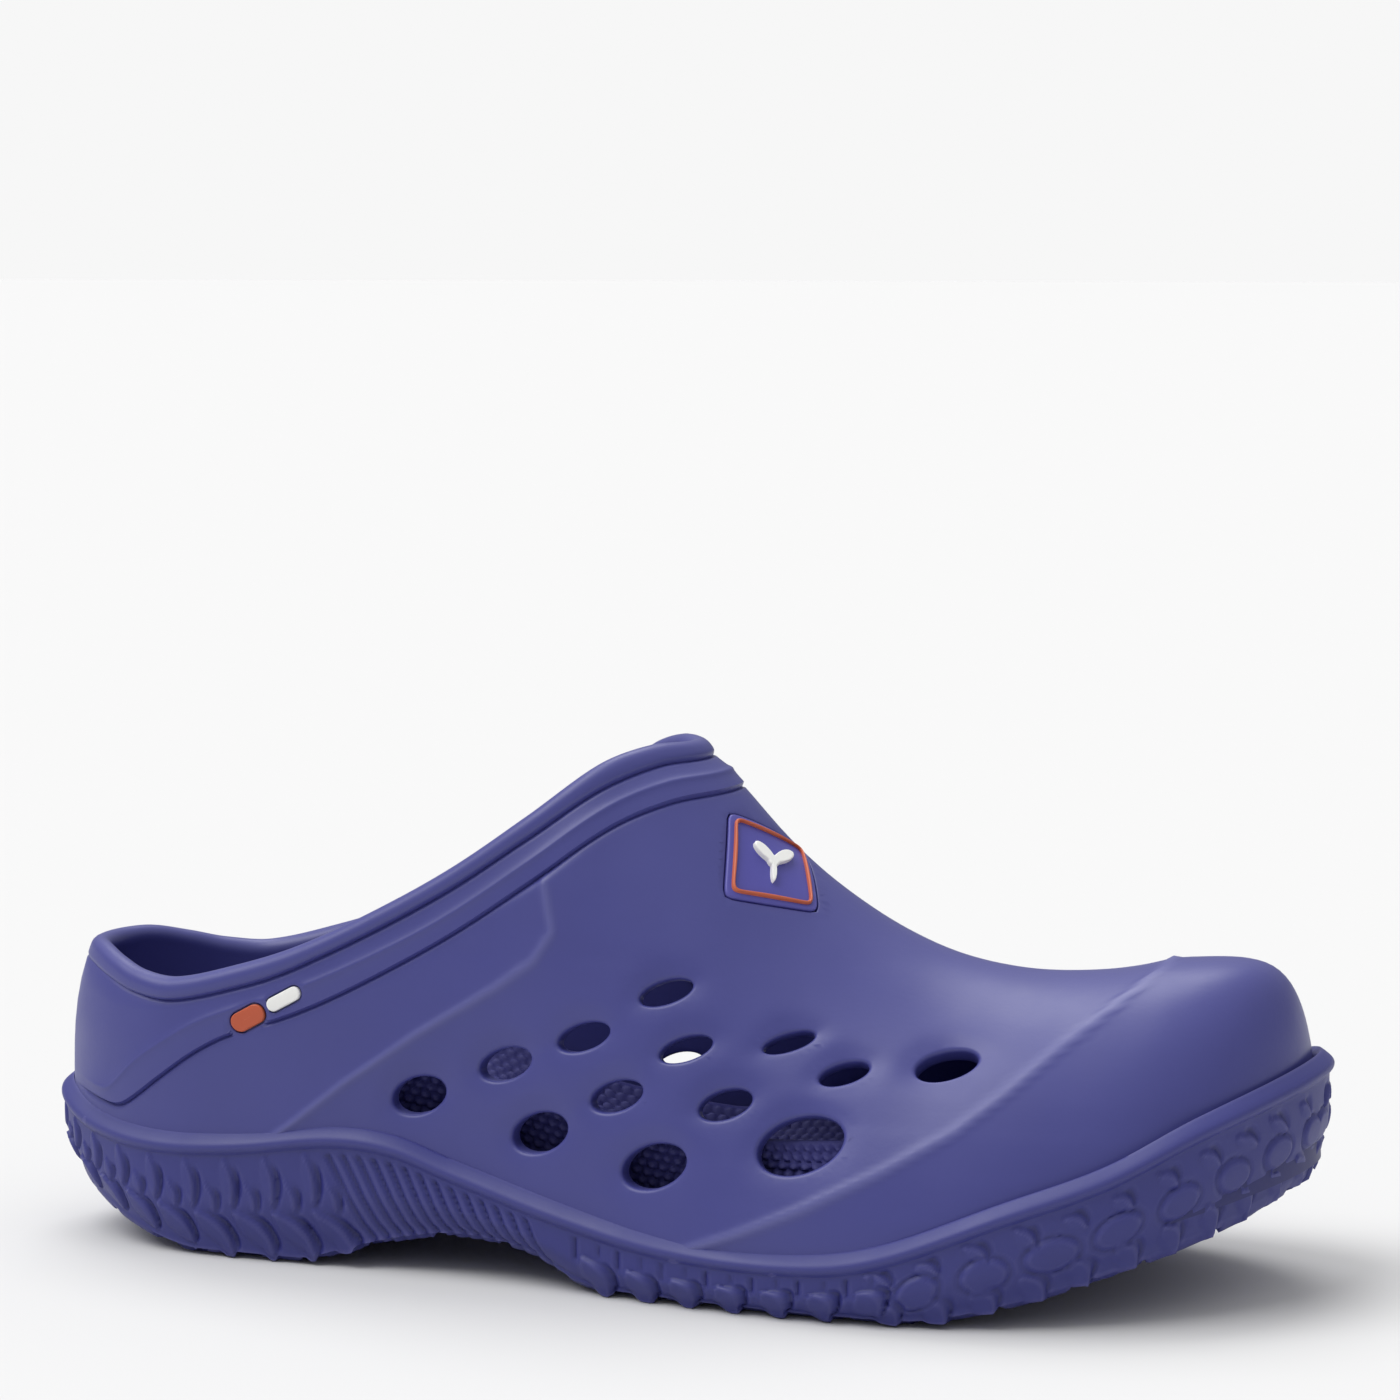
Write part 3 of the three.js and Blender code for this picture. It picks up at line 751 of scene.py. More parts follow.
# %% Sew the upper together
upper = Shell()
outer_grid = Grid(upper, outer_skin)
inner_grid = Grid(upper, inner_skin)
vent_lip, inner_lip = 1.0, 0.6  # radii of the rounded edges outside and inside
for opening in vent_openings:
    outside = opening.fit(outer_formed)
    inside = opening.fit(inner_skin)
    outer_edge = outer_grid.cut(opening.near(outer_skin, vent_lip + 0.5))
    inner_edge = inner_grid.cut(opening.near(inner_skin, inner_lip + 0.6))
    rings = []
    for turn in np.linspace(0, np.pi / 2, 6):
        grow = vent_lip * (1 - math.sin(turn))
        ring = opening.ring(outside, grow, vent_lip * (1 - math.cos(turn)))
        ring += (dish(opening, ring)[:, None]) * opening.place["out"]
        rings.append(ring)
    low_ring = opening.ring(inside, 0, -inner_lip)
    for share in (0.35, 0.7):
        rings.append(rings[5] + (low_ring - rings[5]) * share)
    for turn in np.linspace(0, np.pi / 2, 4):
        grow = inner_lip * (1 - math.cos(turn))
        rings.append(opening.ring(inside, grow, -inner_lip * (1 - math.sin(turn))))
    ids = [upper.add(ring) for ring in rings]
    stitch(upper, opening, outer_edge, ids[0])
    for ring_a, ring_b in zip(ids, ids[1:]):
        upper.loops(ring_a, ring_b)
    stitch(upper, opening, inner_edge, ids[-1], edge_follows=True)

pocket_lip = 0.35
for opening, depth in pockets:
    outside = opening.fit(outer_skin)
    outer_edge = outer_grid.cut(opening.near(outer_skin, pocket_lip + 0.5))
    rings = []
    for turn in np.linspace(0, np.pi / 2, 4):
        grow = pocket_lip * (1 - math.sin(turn))
        rings.append(opening.ring(outside, grow, pocket_lip * (1 - math.cos(turn))))
    rings.append(opening.ring(outside, 0, depth))
    rings.extend(opening.ring(outside, 0, depth, scale) for scale in (0.75, 0.5, 0.25, 0.02))
    ids = [upper.add(ring) for ring in rings]
    stitch(upper, opening, outer_edge, ids[0])
    for ring_a, ring_b in zip(ids, ids[1:]):
        upper.loops(ring_a, ring_b)
    upper.faces.append(tuple(ids[-1].tolist()))

outer_grid.close()
inner_grid.close(outward=False)

# %% Roll the rim over and lay the floor
rim_base = outer_base[:, -1]
rim_normal = outer_normals[:, -1]
rim_up = outer_base[:, -1] - outer_base[:, -2]
rim_up /= np.linalg.norm(rim_up, axis=-1, keepdims=True)
rim_centre = rim_base - ((wall - bead) / 2)[:, None] * rim_normal
ring_before = outer_grid.ids[:, -1]
for turn in np.linspace(0, np.pi, 12)[1:-1]:
    reach = rim_normal * math.cos(turn) + rim_up * math.sin(turn)
    ring = upper.add(rim_centre + rim_radius[:, None] * reach)
    upper.loops(ring_before, ring)
    ring_before = ring
inner_top = inner_grid.ids[:, -1]
for i in range(len(inner_top)):
    a, b, c = (ring_before[(2 * i + k) % len(ring_before)] for k in range(3))
    upper.faces.append((a, b, c, inner_top[(i + 1) % len(inner_top)], inner_top[i]))

half_columns = Columns(upper_columns.count // 2)
cove_foot = half_columns.form_ring(wall + cove_radius, floor_top)
cove_top = inner_skin[:, 0]
ring_before = inner_grid.ids[:, 0]
for turn in np.linspace(0, np.pi / 2, 6)[1:]:
    plan = cove_top[:, :2] + (cove_foot - cove_top)[:, :2] * (1 - math.cos(turn))
    level = cove_top[:, 2] + (cove_foot - cove_top)[:, 2] * math.sin(turn)
    ring = upper.add(np.column_stack([plan, level]))
    upper.loops(ring_before, ring)
    ring_before = ring
for share in (0.8, 0.5, 0.25, 0.0):
    ring = upper.add(half_columns.toward_middle(cove_foot, share, floor_top))
    upper.loops(ring_before, ring)
    ring_before = ring
foot = outer_skin[:, 0]
ring_before = outer_grid.ids[:, 0]
for share in (0.7, 0.35, 0.0):
    ring = upper.add(upper_columns.toward_middle(foot, share, floor_bottom))
    upper.loops(ring, ring_before)
    ring_before = ring
print(f"upper: {upper.count} points, {len(upper.faces)} faces")

# %% [markdown]
# ## From millimetres into the frame
# Every piece leaves its shell here. Points on the middle line that two columns share are merged, so
# each piece is one closed skin, and its faces are smooth except where they meet at a real edge.

# %% Turn a shell into an object
sole_line = Columns(1440)
sole_outline = sole_line.form_ring(-flange, seat)
shift = np.array([-shoe_length / 2, -(sole_outline[:, 1].min() + sole_outline[:, 1].max()) / 2, 0])
materials = {}
same_place, no_length = 2e-6, 1e-7  # metres


def to_object(shell, name, slot, body="clog", replaces=(), sharp_angle=50, attributes=None):
    points = (np.concatenate(shell.points) + shift) / metre
    mesh = bpy.data.meshes.new(name)
    mesh.from_pydata(points.tolist(), [], [tuple(map(int, face)) for face in shell.faces])
    for label, values in (attributes or {}).items():
        layer = mesh.attributes.new(label, "FLOAT", "POINT")
        layer.data.foreach_set("value", values.astype(np.float32))
    merge_and_check(mesh, name)
    made = bpy.data.objects.new(name, mesh)
    bpy.context.scene.collection.objects.link(made)
    mesh.shade_smooth()
    mesh.set_sharp_from_angle(angle=math.radians(sharp_angle))
    mesh.materials.append(materials[slot])
    if body:
        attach(made, body)
    if replaces:
        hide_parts(*replaces)
    return made


def merge_and_check(mesh, name):
    skin = bmesh.new()
    skin.from_mesh(mesh)
    bmesh.ops.remove_doubles(skin, verts=skin.verts, dist=same_place)
    bmesh.ops.dissolve_degenerate(skin, edges=skin.edges, dist=no_length)
    open_edges = sum(1 for edge in skin.edges if len(edge.link_faces) != 2)
    volume = skin.calc_volume(signed=True) * metre**3
    print(f"{name}: {len(skin.faces)} faces, {open_edges} open edges, {volume:.0f} mm3")
    skin.to_mesh(mesh)
    skin.free()


# %% [markdown]
# ## Shared effects for the finishes
# Every surface here came out of a mould, so they share two effects: the faint pebbling that a cast
# mould leaves, with the slight cloudiness of foamed pigment, and painted light: convex edges are
# painted paler as a painted highlight and deep grooves darker as painted shade. Each effect is one
# node group, so its strength can differ per material but its nature stays.

# %% A small helper for node graphs
def new_group(name, inputs, outputs):
    group = bpy.data.node_groups.new(name, "ShaderNodeTree")
    for label, value in inputs:
        socket = group.interface.new_socket(label, in_out="INPUT", socket_type="NodeSocketFloat")
        socket.default_value = value
    for label in outputs:
        group.interface.new_socket(label, in_out="OUTPUT", socket_type="NodeSocketFloat")
    return group, group.nodes.new("NodeGroupInput"), group.nodes.new("NodeGroupOutput")


def math_node(tree, operation, a, b=None, clamp=False):
    node = tree.nodes.new("ShaderNodeMath")
    node.operation = operation
    node.use_clamp = clamp
    for socket, value in zip(node.inputs, (a, b)):
        if isinstance(value, (int, float)):
            socket.default_value = value
        elif value is not None:
            tree.links.new(value, socket)
    return node.outputs[0]


def noise_node(tree, vector, scale, detail=3.0, roughness=0.5):
    node = tree.nodes.new("ShaderNodeTexNoise")
    tree.links.new(vector, node.inputs["Vector"])
    if isinstance(scale, (int, float)):
        node.inputs["Scale"].default_value = scale
    else:
        tree.links.new(scale, node.inputs["Scale"])
    node.inputs["Detail"].default_value = detail
    node.inputs["Roughness"].default_value = roughness
    return node.outputs["Fac"]


# %% Moulded foam: pebble height, cloudiness and a mask of dull patches
grain, grain_in, grain_out = new_group(
    "moulded foam", [("Pebble Scale", 900.0), ("Cloud Scale", 38.0)], ["Height", "Cloud", "Dull"])
where = grain.nodes.new("ShaderNodeTexCoord").outputs["Object"]
pebble = noise_node(grain, where, grain_in.outputs["Pebble Scale"], 4.0, 0.6)
swell = noise_node(grain, where, 120.0, 2.0)
fine_height = math_node(grain, "MULTIPLY", pebble, 0.6)
broad_height = math_node(grain, "MULTIPLY", swell, 0.9)
height = math_node(grain, "ADD", fine_height, broad_height)
cloud = noise_node(grain, where, grain_in.outputs["Cloud Scale"], 4.0, 0.55)
dull = noise_node(grain, where, 65.0, 5.0, 0.6)
grain.links.new(height, grain_out.inputs["Height"])
grain.links.new(cloud, grain_out.inputs["Cloud"])
grain.links.new(dull, grain_out.inputs["Dull"])

# %% Painted highlight and painted shade: a mask that is 1 on convex edges, and one for deep grooves
painted_highlight_shade, highlight_shade_in, highlight_shade_out = new_group("rubbed edges", [("Width", 0.06)], ["Edge", "Groove"])
bend = painted_highlight_shade.nodes.new("ShaderNodeNewGeometry").outputs["Pointiness"]
mask_width = highlight_shade_in.outputs["Width"]
# Edge masks a painted highlight on convex edges; Groove masks painted shade in deep grooves
for label, over in (
    ("Edge", math_node(painted_highlight_shade, "SUBTRACT", bend, 0.51)),
    ("Groove", math_node(painted_highlight_shade, "SUBTRACT", 0.49, bend)),
):
    mask = math_node(painted_highlight_shade, "DIVIDE", over, mask_width, clamp=True)
    painted_highlight_shade.links.new(mask, highlight_shade_out.inputs[label])
print("node groups:", ", ".join(g.name for g in (grain, painted_highlight_shade)))


# %% A moulded finish built on both groups
def mix_colour(tree, share, a, b):
    node = tree.nodes.new("ShaderNodeMix")
    node.data_type = "RGBA"
    tree.links.new(share, node.inputs["Factor"])
    for socket, value in ((node.inputs["A"], a), (node.inputs["B"], b)):
        if isinstance(value, tuple):
            socket.default_value = (*value, 1)
        else:
            tree.links.new(value, socket)
    return node.outputs["Result"]


def scaled(colour, factor):
    return tuple(min(channel * factor, 1.0) for channel in colour)


def moulded(slot, colour, pale, roughness, bump=0.08, cloud=0.10, edge=0.5, specular=0.5,
            hollow=0.35, crest=0.0):
    """crest above 0 paints a highlight along the creases that the mesh marks, in place of the painted
    highlight on every edge: on the wide, gently bent upper the edge mask would draw faint streaks.
    edge sets the painted highlight that pales convex edges, hollow the painted shade in deep grooves."""
    material = bpy.data.materials.new(slot.replace("_", " "))
    material.use_nodes = True
    tree = material.node_tree
    shader = tree.nodes["Principled BSDF"]
    foam = tree.nodes.new("ShaderNodeGroup")
    foam.node_tree = grain
    toned = mix_colour(tree, foam.outputs["Cloud"], scaled(colour, 1 - cloud), scaled(colour, 1 + cloud))
    # Painted highlight: the crease lines that the crest attribute marks are painted paler
    if crest:
        crest_attribute = tree.nodes.new("ShaderNodeAttribute")
        crest_attribute.attribute_name = "crest"
        crest_highlight_share = math_node(tree, "MULTIPLY", crest_attribute.outputs["Fac"], crest)
        toned = mix_colour(tree, crest_highlight_share, toned, pale)
    else:
        # Painted highlight on convex edges, and painted shade that darkens deep grooves
        painted_light_masks = tree.nodes.new("ShaderNodeGroup")
        painted_light_masks.node_tree = painted_highlight_shade
        edge_highlight_share = math_node(tree, "MULTIPLY", painted_light_masks.outputs["Edge"], edge)
        toned = mix_colour(tree, edge_highlight_share, toned, pale)
        groove_shade_share = math_node(tree, "MULTIPLY", painted_light_masks.outputs["Groove"], hollow)
        toned = mix_colour(tree, groove_shade_share, toned, scaled(colour, 0.55))
    tree.links.new(toned, shader.inputs["Base Color"])
    dull = math_node(tree, "MULTIPLY", math_node(tree, "SUBTRACT", foam.outputs["Dull"], 0.5), 0.22)
    rough = math_node(tree, "ADD", dull, roughness, clamp=True)
    tree.links.new(rough, shader.inputs["Roughness"])
    shader.inputs["Specular IOR Level"].default_value = specular
    relief = tree.nodes.new("ShaderNodeBump")
    relief.inputs["Strength"].default_value = bump
    relief.inputs["Distance"].default_value = 0.0006
    tree.links.new(foam.outputs["Height"], relief.inputs["Height"])
    tree.links.new(relief.outputs["Normal"], shader.inputs["Normal"])
    materials[slot] = material


# %% The finishes of the clog
foam_blue = (0.052, 0.055, 0.236)
sole_blue = (0.031, 0.034, 0.195)
# Each finish's second colour is its painted highlight on edges or creases; painted shade in grooves is
# the colour at 0.55
moulded("upper_foam", foam_blue, (0.16, 0.165, 0.38), 0.42, cloud=0.07, crest=0.5)
# The sole gets a strong painted highlight on its lip and cleat edges and painted shade in its grooves
moulded("sole_rubber", sole_blue, (0.09, 0.09, 0.28), 0.5, edge=0.6, hollow=0.7)
moulded("footbed_foam", (0.034, 0.034, 0.16), (0.12, 0.12, 0.3), 0.65, bump=0.15, specular=0.25)
moulded("badge_blue", (0.07, 0.065, 0.33), (0.13, 0.12, 0.4), 0.4)
moulded("badge_orange", (0.5, 0.085, 0.03), (0.6, 0.18, 0.09), 0.42)
moulded("badge_white", (0.86, 0.86, 0.84), (0.9, 0.9, 0.88), 0.45, cloud=0.03)
print(len(materials), "finishes")

# %% Make the upper, with a painted highlight marked along its creases
# The crest attribute carries a painted highlight along the toe and panel creases
crest = np.zeros(upper.count)
toe_crest_highlight = np.exp(-((toe_distance / 0.9) ** 2))
panel_crest_highlight = 0.7 * np.exp(-((panel_distance / 0.9) ** 2))
crest[outer_grid.ids] = under_band * np.maximum(toe_crest_highlight, panel_crest_highlight)
upper_object = to_object(
    upper, "clog_upper", "upper_foam", replaces=("upper_shell",), attributes={"crest": crest})

# %% [markdown]
# ## Sole
# The sole is a rubber cup that the upper sits in. A smooth lip runs round its top edge; below it the
# side is carved into cleats: panels and leaning leaves at the heel and the ball, fine slanting
# grooves under the arch, ovals and leaves round the toe. Cleats repeat, but a modifier can't lean
# or thin them where the sole narrows, so each is a small height function placed by a loop.

# %% The sole's outline, and distances along it from the heel
def walk_round(plan):
    """A closed outline's outward directions, distances from its first point, and whole length."""
    tangent = np.roll(plan, -1, axis=0) - np.roll(plan, 1, axis=0)
    tangent /= np.linalg.norm(tangent, axis=1, keepdims=True)
    out = np.stack([tangent[:, 1], -tangent[:, 0]], -1)
    stride = np.linalg.norm(np.roll(plan, -1, axis=0) - plan, axis=1)
    return out, np.concatenate([[0], np.cumsum(stride)[:-1]]), stride.sum()


sole_xy = sole_outline[:, :2]
sole_out, along_sole, girth = walk_round(sole_xy)
from_heel = np.minimum(along_sole, girth - along_sole)
half_girth = girth / 2
outer_half = np.arange(sole_line.count) <= sole_line.count // 2
outer_x = sole_xy[outer_half, 0]
outer_s = from_heel[outer_half]
print(f"sole girth {girth:.0f} mm")

lip_height = np.minimum(4.8, (rib(sole_xy[:, 0]) - tread(sole_xy[:, 0])) / 3)
side_height = rib(sole_xy[:, 0]) - lip_height - tread(sole_xy[:, 0])


# %% One cleat as a height over the side of the sole
def turned(s, v, at, angle):
    """Distances along and across a cleat whose long axis leans by the angle from upright."""
    ds, dv = s - at[0], v - at[1]
    return (ds * math.sin(angle) + dv * math.cos(angle),
            ds * math.cos(angle) - dv * math.sin(angle))


def leaf(s, v, at, half_long, half_wide, angle, height, hollow):
    """A leaf that rises toward its front edge, and the hollow cut just in front of that edge."""
    p, q = turned(s, v, at, angle)
    room = np.maximum(1 - (p / half_long) ** 2, 0)
    width = np.maximum(half_wide * room, 1e-3)
    body = height * smoothstep(0, 0.5, 1 - np.abs(q) / width) * (0.75 + 0.45 * q / half_wide)
    ditch = -hollow * np.exp(-(((q - width - 0.5) / 0.75) ** 2)) * np.sqrt(room)
    ditch *= smoothstep(-0.7, 0.1, p / half_long)
    return np.where(room > 0, body, 0), ditch


def oval(s, v, at, half_long, half_wide, angle, height, rim_cut):
    """A flat oval with a fine groove round it."""
    p, q = turned(s, v, at, angle)
    out = np.hypot(p / half_long, q / half_wide)
    body = height * (1 - smoothstep(0.78, 0.98, out)) * (0.75 + 0.25 * out)
    return body, -rim_cut * np.exp(-(((out - 1.08) / 0.1) ** 2))


class SideRelief:
    def __init__(self, s, v):
        self.s, self.v = s, v
        self.raised = np.zeros(s.shape)
        self.cut = np.zeros(s.shape)

    def add(self, cleat, at, *shape):
        body, ditch = cleat(self.s, self.v, at, *shape)
        self.raised = np.maximum(self.raised, body)
        self.cut = np.minimum(self.cut, ditch)

    def slot(self, middle, lean_angle, top, bottom, half, depth):
        q = self.s - middle - self.v * math.tan(lean_angle)
        ends = smoothstep(top - 0.8, top + 0.8, self.v)
        ends *= 1 - smoothstep(bottom - 1, bottom + 1, self.v)
        self.cut = np.minimum(self.cut, -depth * ends * np.exp(-((q / half) ** 2)))


# %% Rows down the side, and where the zones begin and end
side_rows = 34
share_down = np.linspace(0, 1, side_rows + 1)
side_v = side_height[:, None] * share_down
side_s = np.repeat(from_heel[:, None], side_rows + 1, axis=1)
arch_start = np.interp(74, outer_x, outer_s)
arch_end = np.interp(130, outer_x, outer_s)
ball_end = np.interp(196, outer_x, outer_s)
relief = SideRelief(side_s, side_v)


def height_at(s):
    return np.interp(s, outer_s, side_height[outer_half])


# %% Cleats of the heel: upright drops above, leaning leaves below
heel_pitch = 9.6
for k in range(int(arch_start / heel_pitch) + 1):
    s, tall = k * heel_pitch, height_at(k * heel_pitch)
    relief.add(leaf, (s, 0.25 * tall), 0.27 * tall, 1.7, 0.2, 0.5, 1.1)
    relief.add(leaf, (s + 5.3, 0.42 * tall), 0.17 * tall, 1.4, 0.3, 0.4, 0.9)
    relief.add(leaf, (s + 5.8, 0.78 * tall), 0.33 * tall, 2.9, 0.7, 0.9, 1.4)

# %% Cleats of the ball: short upright slots above, leaning leaves below
ball_pitch = 10.2
for k in range(int((ball_end - arch_end) / ball_pitch) + 1):
    s = arch_end + 2 + k * ball_pitch
    tall = height_at(s)
    relief.slot(s, 0.02, 0.5, 0.46 * tall, 0.55, 0.75)
    relief.slot(s + 5.6, 0.05, 0.5, 0.3 * tall, 0.5, 0.5)
    relief.add(leaf, (s + 4.6, 0.68 * tall), 0.4 * tall, 4.2, 0.58, 1.1, 1.15)

# %% Grooves of the arch
arch_pitch, arch_lean = 3.5, math.radians(27)
for k in range(1, int((arch_end - arch_start) / arch_pitch) - 1):
    s = arch_start + k * arch_pitch
    relief.slot(s - 3, arch_lean, 0.8, height_at(s) + 3, 0.7, 0.95)

# %% Cleats of the toe: three staggered rows of ovals and leaves
toe_span = half_girth - ball_end
toe_draws = np.random.default_rng(7)
toe_rows = (  # share of the way down, half length, half width, lean, cleat, offset
    (0.2, 3.4, 1.7, 0.9, leaf, 0.0),
    (0.49, 5.2, 3.5, 1.4, oval, 0.5),
    (0.84, 4.4, 3.0, 0.55, leaf, 0.15),
)
for down, half_long, half_wide, angle, cleat, offset in toe_rows:
    count = 8 if cleat is oval else 11
    for k in range(count):
        s = ball_end + (k + 0.3 + offset) * toe_span / count
        turn = angle + toe_draws.uniform(-0.2, 0.2)
        grown = toe_draws.uniform(0.85, 1.15)
        strength = (0.5, 0.4) if cleat is oval else (0.7, 0.75)
        relief.add(cleat, (s, down * height_at(s)), half_long * grown, half_wide, turn, *strength)
side_relief = np.clip(relief.raised + relief.cut, -1.5, 1.6)
side_relief *= smoothstep(0, 0.06, share_down)[None, :]
print(f"cleats stand {side_relief.max():.1f} mm out and cut {-side_relief.min():.1f} mm in")


# %% Rings of the sole from the cup, over the lip, down the side and under the tread
sole = Shell()


def sole_ring(inset, level):
    return np.column_stack([sole_xy - sole_out * np.reshape(inset, (-1, 1)), level])


def chain(shell, rings, start=None):
    before = start
    for ring in rings:
        ids = shell.add(ring)
        if before is not None:
            shell.loops(before, ids)
        before = ids
    return before


sole_x = sole_xy[:, 0]
rib_level = rib(sole_x)
lip_inner = sole_line.form_ring(0.35, rib)
cup_foot = sole_line.form_ring(-cup_gap, seat)
cup_top = sole_line.form_ring(0.35, lambda x: rib(x) - 2.5)
under_lip = rib_level - lip_height
set_back = 1.0
bevel = 3.6
side_inset = set_back + (bevel - set_back) * smoothstep(0.4, 1.0, share_down)
edge_mask = np.clip(side_relief[:, -3] / 0.7, 0, 1)
scallop = 1.3 * (1 - edge_mask)
side_rings = []
for row in range(side_rows, -1, -1):
    level = under_lip - side_v[:, row] + scallop * smoothstep(0.7, 1.0, share_down[row])
    side_rings.append(sole_ring(side_inset[row] - side_relief[:, row], level))
lip_shape = [  # share of the lip's height below its top, inset
    (0.97, 0.95), (0.92, 0.75), (0.85, 0.45), (0.77, 0.18), (0.68, 0.02), (0.58, 0.0),
    (0.48, 0.14), (0.39, 0.42), (0.3, 0.84), (0.21, 1.35), (0.12, 1.9), (0.05, 2.35), (0.0, 2.75),
]
lip_rings = [sole_ring(inset, rib_level - drop * lip_height) for drop, inset in lip_shape]
lip_inner[:, 2] -= 0.25


# %% Lugs under the tread
lug_length, lug_width, lug_depth = 15.0, 11.0, 2.4
lug_lean = 0.028  # of a lug's length for each millimetre outward


def lug_mask(x, y):
    """1 on a lug and 0 between them: leaves in rows that lean outward from the middle line."""
    across = np.abs(y - centre(x))
    u = x / lug_length + lug_lean * across
    v = across / lug_width + 0.5
    column = np.floor(v)
    u = u + 0.5 * (column % 2)
    p, q = 2 * (u - np.floor(u)) - 1, 2 * (v - column) - 1
    return smoothstep(0.0, 0.22, 0.86 - p * p - np.abs(q) ** 2.4 * 0.8)


under_rings = []
edge_ring = side_rings[0]
arch_thinning = 0.55  # lugs are this much shallower under the arch
for share in np.concatenate([np.linspace(0.985, 0.93, 3), np.linspace(0.9, 0.0, 34)]):
    ring = sole_line.toward_middle(edge_ring, share, tread)
    station = ring[:, 0] / shoe_length
    shallow = smoothstep(0.25, 0.3, station) * (1 - smoothstep(0.44, 0.49, station))
    depth = lug_depth * (1 - arch_thinning * shallow) * (1 - lug_mask(ring[:, 0], ring[:, 1]))
    inward = 1 - smoothstep(0.93, 1.0, share)
    ring[:, 2] += depth * inward + scallop * (1 - inward)
    under_rings.append(ring)
cup_rings = [lip_inner, cup_top, sole_line.form_ring(-cup_gap, lambda x: rib(x) - 3.5), cup_foot]
cup_rings += [sole_line.toward_middle(cup_foot, share, seat) for share in (0.66, 0.33, 0.0)]
chain(sole, under_rings[::-1] + side_rings + lip_rings + cup_rings)
sole_object = to_object(sole, "clog_sole", "sole_rubber", replaces=("outsole",), sharp_angle=60)

# %% [markdown]
# ## Footbed
# The footbed is a loose sheet of foam that lifts out by its heel. Its edge turns up like a tray and
# carries a skin of small scales, which is what shows through the low vents. It is one mesh, in
# place of the two stiff halves of the CAD model.

# %% A section of the footbed: inset from the last, and height over its underside
footbed = Shell()
bed_columns = Columns(1500)
bed_inset = wall + footbed_edge
bed_foot = bed_columns.form_ring(bed_inset, footbed_bottom)
bed_foot[:, :2] = bed_columns.form_ring(bed_inset, seat)[:, :2]
bed_out, bed_s, _ = walk_round(bed_foot[:, :2])
bed_x = bed_foot[:, 0]
bed_edge_rise = 7 + 4.5 * smoothstep(80, 96, bed_x) + 3 * smoothstep(145, 170, bed_x)
on_inner_side = smoothstep(-10, 10, bed_foot[:, 1] - centre(bed_x))
bed_edge_rise -= 5.5 * on_inner_side * smoothstep(90, 120, bed_x)
scale_pitch, scale_tall = 2.5, 1.9


def scales(s, v):
    row = np.floor(v / scale_tall)
    u = s / scale_pitch + 0.5 * (row % 2)
    p = 2 * (u - np.floor(u)) - 1
    q = 2 * (v / scale_tall - row) - 1
    return 0.85 * np.sqrt(np.maximum(1 - p * p - 0.7 * q * q, 0)) * (1 - 0.3 * q)


def bed_ring(inset, rise, relief=0.0):
    """A ring set in from the foot's edge at a height over the underside, kept inside the wall."""
    plan = bed_foot[:, :2] - bed_out * np.reshape(inset - relief, (-1, 1))
    room = bed_columns.form_ring(wall + 0.7, lambda x: footbed_bottom(x) + rise)[:, :2]
    hub = np.stack([bed_columns.hub_x, bed_columns.hub_y], -1)
    share = np.linalg.norm(room - hub, axis=1) / np.linalg.norm(plan - hub, axis=1)
    plan = hub + (plan - hub) * np.minimum(share, 1)[:, None]
    return np.column_stack([plan, footbed_bottom(plan[:, 0]) + rise])


bed_top_rise = footbed_thickness + bed_edge_rise
bed_rings = [bed_columns.toward_middle(bed_foot, share, footbed_bottom) for share in (0, 0.4, 0.8)]
low_round, top_round = 0.8, 1.2  # radii of the edge's lower and upper corners
bed_rings.append(bed_ring(low_round, 0.0))
for turn in np.linspace(0, np.pi / 2, 4)[1:]:
    bed_rings.append(bed_ring(low_round * (1 - math.sin(turn)), low_round * (1 - math.cos(turn))))
for rise in np.linspace(top_round, bed_top_rise - top_round, 42):
    lean_in = 0.9 - 0.9 * rise / bed_top_rise
    bed_rings.append(bed_ring(lean_in + 0.5, rise, scales(bed_s, rise - top_round) - 0.3))
for turn in np.linspace(0, np.pi * 0.75, 6)[1:]:
    rise = bed_top_rise - top_round * (1 - math.sin(turn))
    bed_rings.append(bed_ring(top_round * (1 - math.cos(turn)), rise))
slope_run = bed_edge_rise * 1.25
for share in np.linspace(0, 1, 40)[1:]:
    inset = 2.2 + slope_run * share
    fall = bed_edge_rise * (1 - (1 - share) ** 1.8)
    bump = scales(bed_s, share * slope_run * 1.5) * (1 - smoothstep(0.75, 1, share))
    ring = bed_ring(inset, bed_top_rise - 0.6 - fall + 0.6 * share)
    ring[:, 2] += 0.7 * bump
    bed_rings.append(ring)
bed_inner = bed_rings[-1]
for share in np.linspace(0.94, 0.0, 12):
    bed_rings.append(bed_columns.toward_middle(bed_inner, share, footbed_top))
chain(footbed, bed_rings)
footbed_object = to_object(
    footbed, "footbed", "footbed_foam", body=None, replaces=("footbed_heel", "footbed_forefoot"))
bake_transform(footbed_object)

# %% [markdown]
# ## Badge and side mark
# The badge is a soft plate glued into a pocket, with a raised border and a raised figure, here two
# leaves on a stem. A flat plate would rock on the curved instep, so each piece is bent to the skin:
# its outline is drawn on the place's plane and every point is dropped onto the surface below.

